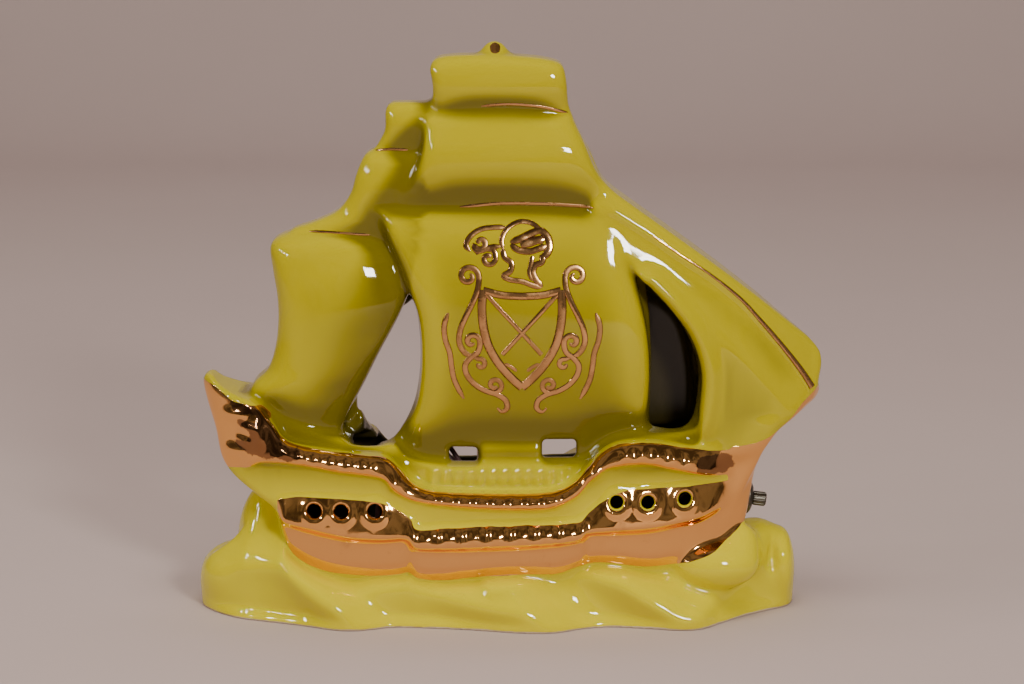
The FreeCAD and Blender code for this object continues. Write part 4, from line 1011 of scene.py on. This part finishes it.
def ribbon_tree():
    """Edges to curves that lie on the glaze, swept with a flat round section."""
    tree = bpy.data.node_groups.get("lustre_ribbon")
    if tree:
        return tree
    tree = bpy.data.node_groups.new("lustre_ribbon", "GeometryNodeTree")
    tree.interface.new_socket("Geometry", in_out="INPUT", socket_type="NodeSocketGeometry")
    tree.interface.new_socket("Flatness", in_out="INPUT", socket_type="NodeSocketFloat")
    tree.interface.new_socket("Finish", in_out="INPUT", socket_type="NodeSocketMaterial")
    tree.interface.new_socket("Geometry", in_out="OUTPUT", socket_type="NodeSocketGeometry")
    feed = Feed(tree, None)
    given = tree.nodes.new("NodeGroupInput")
    lines = feed.make("GeometryNodeMeshToCurve", Mesh=Feed(tree, given.outputs["Geometry"]))
    lie = feed.make("GeometryNodeInputNamedAttribute", {"data_type": "FLOAT_VECTOR"}, Name="lie")
    width = feed.make("GeometryNodeInputNamedAttribute", {"data_type": "FLOAT"}, Name="half_width")
    lines = feed.make("GeometryNodeSetCurveNormal", {"mode": "FREE"}, Curve=lines, Normal=lie)
    ring = feed.make("GeometryNodeCurvePrimitiveCircle", Resolution=8, Radius=1.0)
    sideways = feed.make("ShaderNodeSeparateXYZ", out="Y", Vector=feed.make("GeometryNodeInputPosition"))
    ring = feed.make("GeometryNodeStoreNamedAttribute", {"data_type": "FLOAT", "domain": "POINT"},
                     Geometry=ring, Name="edge", Value=sideways.math("ABSOLUTE"))
    size = feed.make("ShaderNodeCombineXYZ", X=Feed(tree, given.outputs["Flatness"]), Y=1.0, Z=1.0)
    ring = feed.make("GeometryNodeTransform", Geometry=ring, Scale=size)
    swept = feed.make("GeometryNodeCurveToMesh", Curve=lines, Profile_Curve=ring, Scale=width,
                      Fill_Caps=True)
    swept = feed.make("GeometryNodeSetShadeSmooth", Geometry=swept)
    swept = feed.make("GeometryNodeRealizeInstances", Geometry=swept)
    swept = feed.make("GeometryNodeSetMaterial", Geometry=swept,
                      Material=Feed(tree, given.outputs["Finish"]))
    last = tree.nodes.new("NodeGroupOutput")
    tree.links.new(swept.socket, last.inputs["Geometry"])
    return tree


def brushed_gold():
    """Gold lustre laid on with a fine brush: darker and redder along its edges."""
    made, shader, feed = new_material("brushed_gold_lines")
    edge = (attribute(feed, "edge") + (noise(feed, 260, 3) - 0.5) * 0.9).between(0.45, 0.95)
    worn = noise(feed, 90, 4, 0.6).between(0.45, 0.62)
    colour = (edge * 0.75).mix((0.78, 0.42, 0.17, 1), (0.26, 0.11, 0.045, 1))
    colour = (worn * 0.45).mix(colour, (0.34, 0.16, 0.06, 1))
    wire_up(feed, shader, Base_Color=colour, Metallic=1.0, Roughness=0.12 + 0.2 * worn + 0.1 * edge,
            Normal=bump(feed, noise(feed, 420, 3), 0.00006))
    return made


# ------------------------------------------------------------------ set
CAMERA_PLACE, CAMERA_AIM = (0.0021, -1.4749, 0.40935), (0.0021, 0, 0.136)
LENS, SENSOR = 105.5, 36


def look_at(thing, target):
    thing.rotation_euler = (Vector(target) - thing.location).to_track_quat("-Z", "Y").to_euler()


def camera():
    lens = bpy.data.cameras.new("camera")
    lens.lens = LENS
    lens.sensor_width = SENSOR
    lens.clip_end = 50
    piece = bpy.data.objects.new("camera", lens)
    piece.location = CAMERA_PLACE
    look_at(piece, CAMERA_AIM)
    bpy.context.scene.collection.objects.link(piece)
    bpy.context.scene.camera = piece


def soft_box(name, location, target, size, power, colour=(1, 0.97, 0.93)):
    """A rectangular lamp, in metres and watts, turned towards a point."""
    lamp = bpy.data.lights.new(name, "AREA")
    lamp.shape = "RECTANGLE"
    lamp.size, lamp.size_y = size
    lamp.energy = power
    lamp.color = colour
    piece = bpy.data.objects.new(name, lamp)
    piece.location = location
    look_at(piece, target)
    bpy.context.scene.collection.objects.link(piece)
    return piece


def paper_sweep():
    """A seamless sweep of pale paper: the floor, a round bend and the wall."""
    made, shader, feed = new_material("pale_paper_sweep")
    shade = noise(feed, 2.5, 4).mix((0.50, 0.39, 0.355, 1), (0.54, 0.425, 0.39, 1))
    wire_up(feed, shader, Base_Color=shade, Roughness=0.85)
    width, near, back, rise, round_r = 4.0, -2.6, 2.4, 2.6, 0.6
    profile = [(near, 0.0), (back - round_r, 0.0)]
    profile += [(back - round_r + round_r * math.sin(a), round_r - round_r * math.cos(a))
                for a in np.linspace(0, math.pi / 2, 14)[1:]]
    profile.append((back, rise))
    points = [(side * width, y, z) for side in (-1, 1) for y, z in profile]
    n = len(profile)
    faces = [(i, n + i, n + i + 1, i + 1) for i in range(n - 1)]
    mesh = bpy.data.meshes.new("sweep")
    mesh.from_pydata(points, [], faces)
    mesh.shade_smooth()
    mesh.materials.append(made)
    sweep = keep_mesh("sweep", mesh)


def dim_room():
    """A dim room of soft uneven patches, which the gold and the glaze reflect."""
    world = bpy.data.worlds.new("room")
    world.use_nodes = True
    room = Feed(world.node_tree, None)
    way = room.make("ShaderNodeTexCoord", out="Generated")
    patches = noise(room, 3.4, 3.0, 0.6, where=way).between(0.4, 0.62)
    colour = patches.mix((0.05, 0.042, 0.035, 1), (0.19, 0.17, 0.15, 1))
    sky = world.node_tree.nodes["Background"]
    world.node_tree.links.new(colour.socket, sky.inputs["Color"])
    sky.inputs["Strength"].default_value = 1.0
    bpy.context.scene.world = world


def lights():
    """A window-like key at the front right, a broad soft light above, a wash on the wall, and strips."""
    middle = (0, 0, 0.14)
    soft_box("window", (0.80, -1.85, 0.98), middle, (0.30, 0.30), 26)
    overhead = soft_box("overhead", (0.0, -0.75, 2.1), (0, 0, 0.1), (1.6, 0.9), 27)
    wash = soft_box("backdrop_wash", (0.0, 0.7, 2.3), (0, 2.3, 0.5), (2.4, 0.5), 20, (1, 0.94, 0.95))
    for broad in (overhead, wash):
        broad.visible_glossy = False
    for k in range(4):
        soft_box(f"left_strip_{k}", (-1.35, -0.95 + 0.28 * k, 0.85), middle, (0.05, 0.16), 1.8)


# ------------------------------------------------------------------ making
camera()
paper_sweep()
dim_room()
lights()
ceramic, SHIP_FIELD = ceramic_ship()
ceramic.data.materials.append(glaze_with_gilding())
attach(ceramic, "root")
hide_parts("ceramic_ship")
finish_hardware()

BRUSHED_GOLD = brushed_gold()
spar_stroke = stroke(SPAR_STROKE, lambda run: 0.45 + 1.3 * run ** 1.6, False)
for name, strokes, flat in (("gold_crest", crest_strokes(), 0.16), ("gold_yard_lines", RIGGING_STROKES, 0.3),
                            ("gold_spar_line", [spar_stroke], 0.25)):
    lines = laid_on(strokes, ceramic, SHIP_FIELD, name, BRUSHED_GOLD, flat)
    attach(lines, "root")
    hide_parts("ceramic_ship")
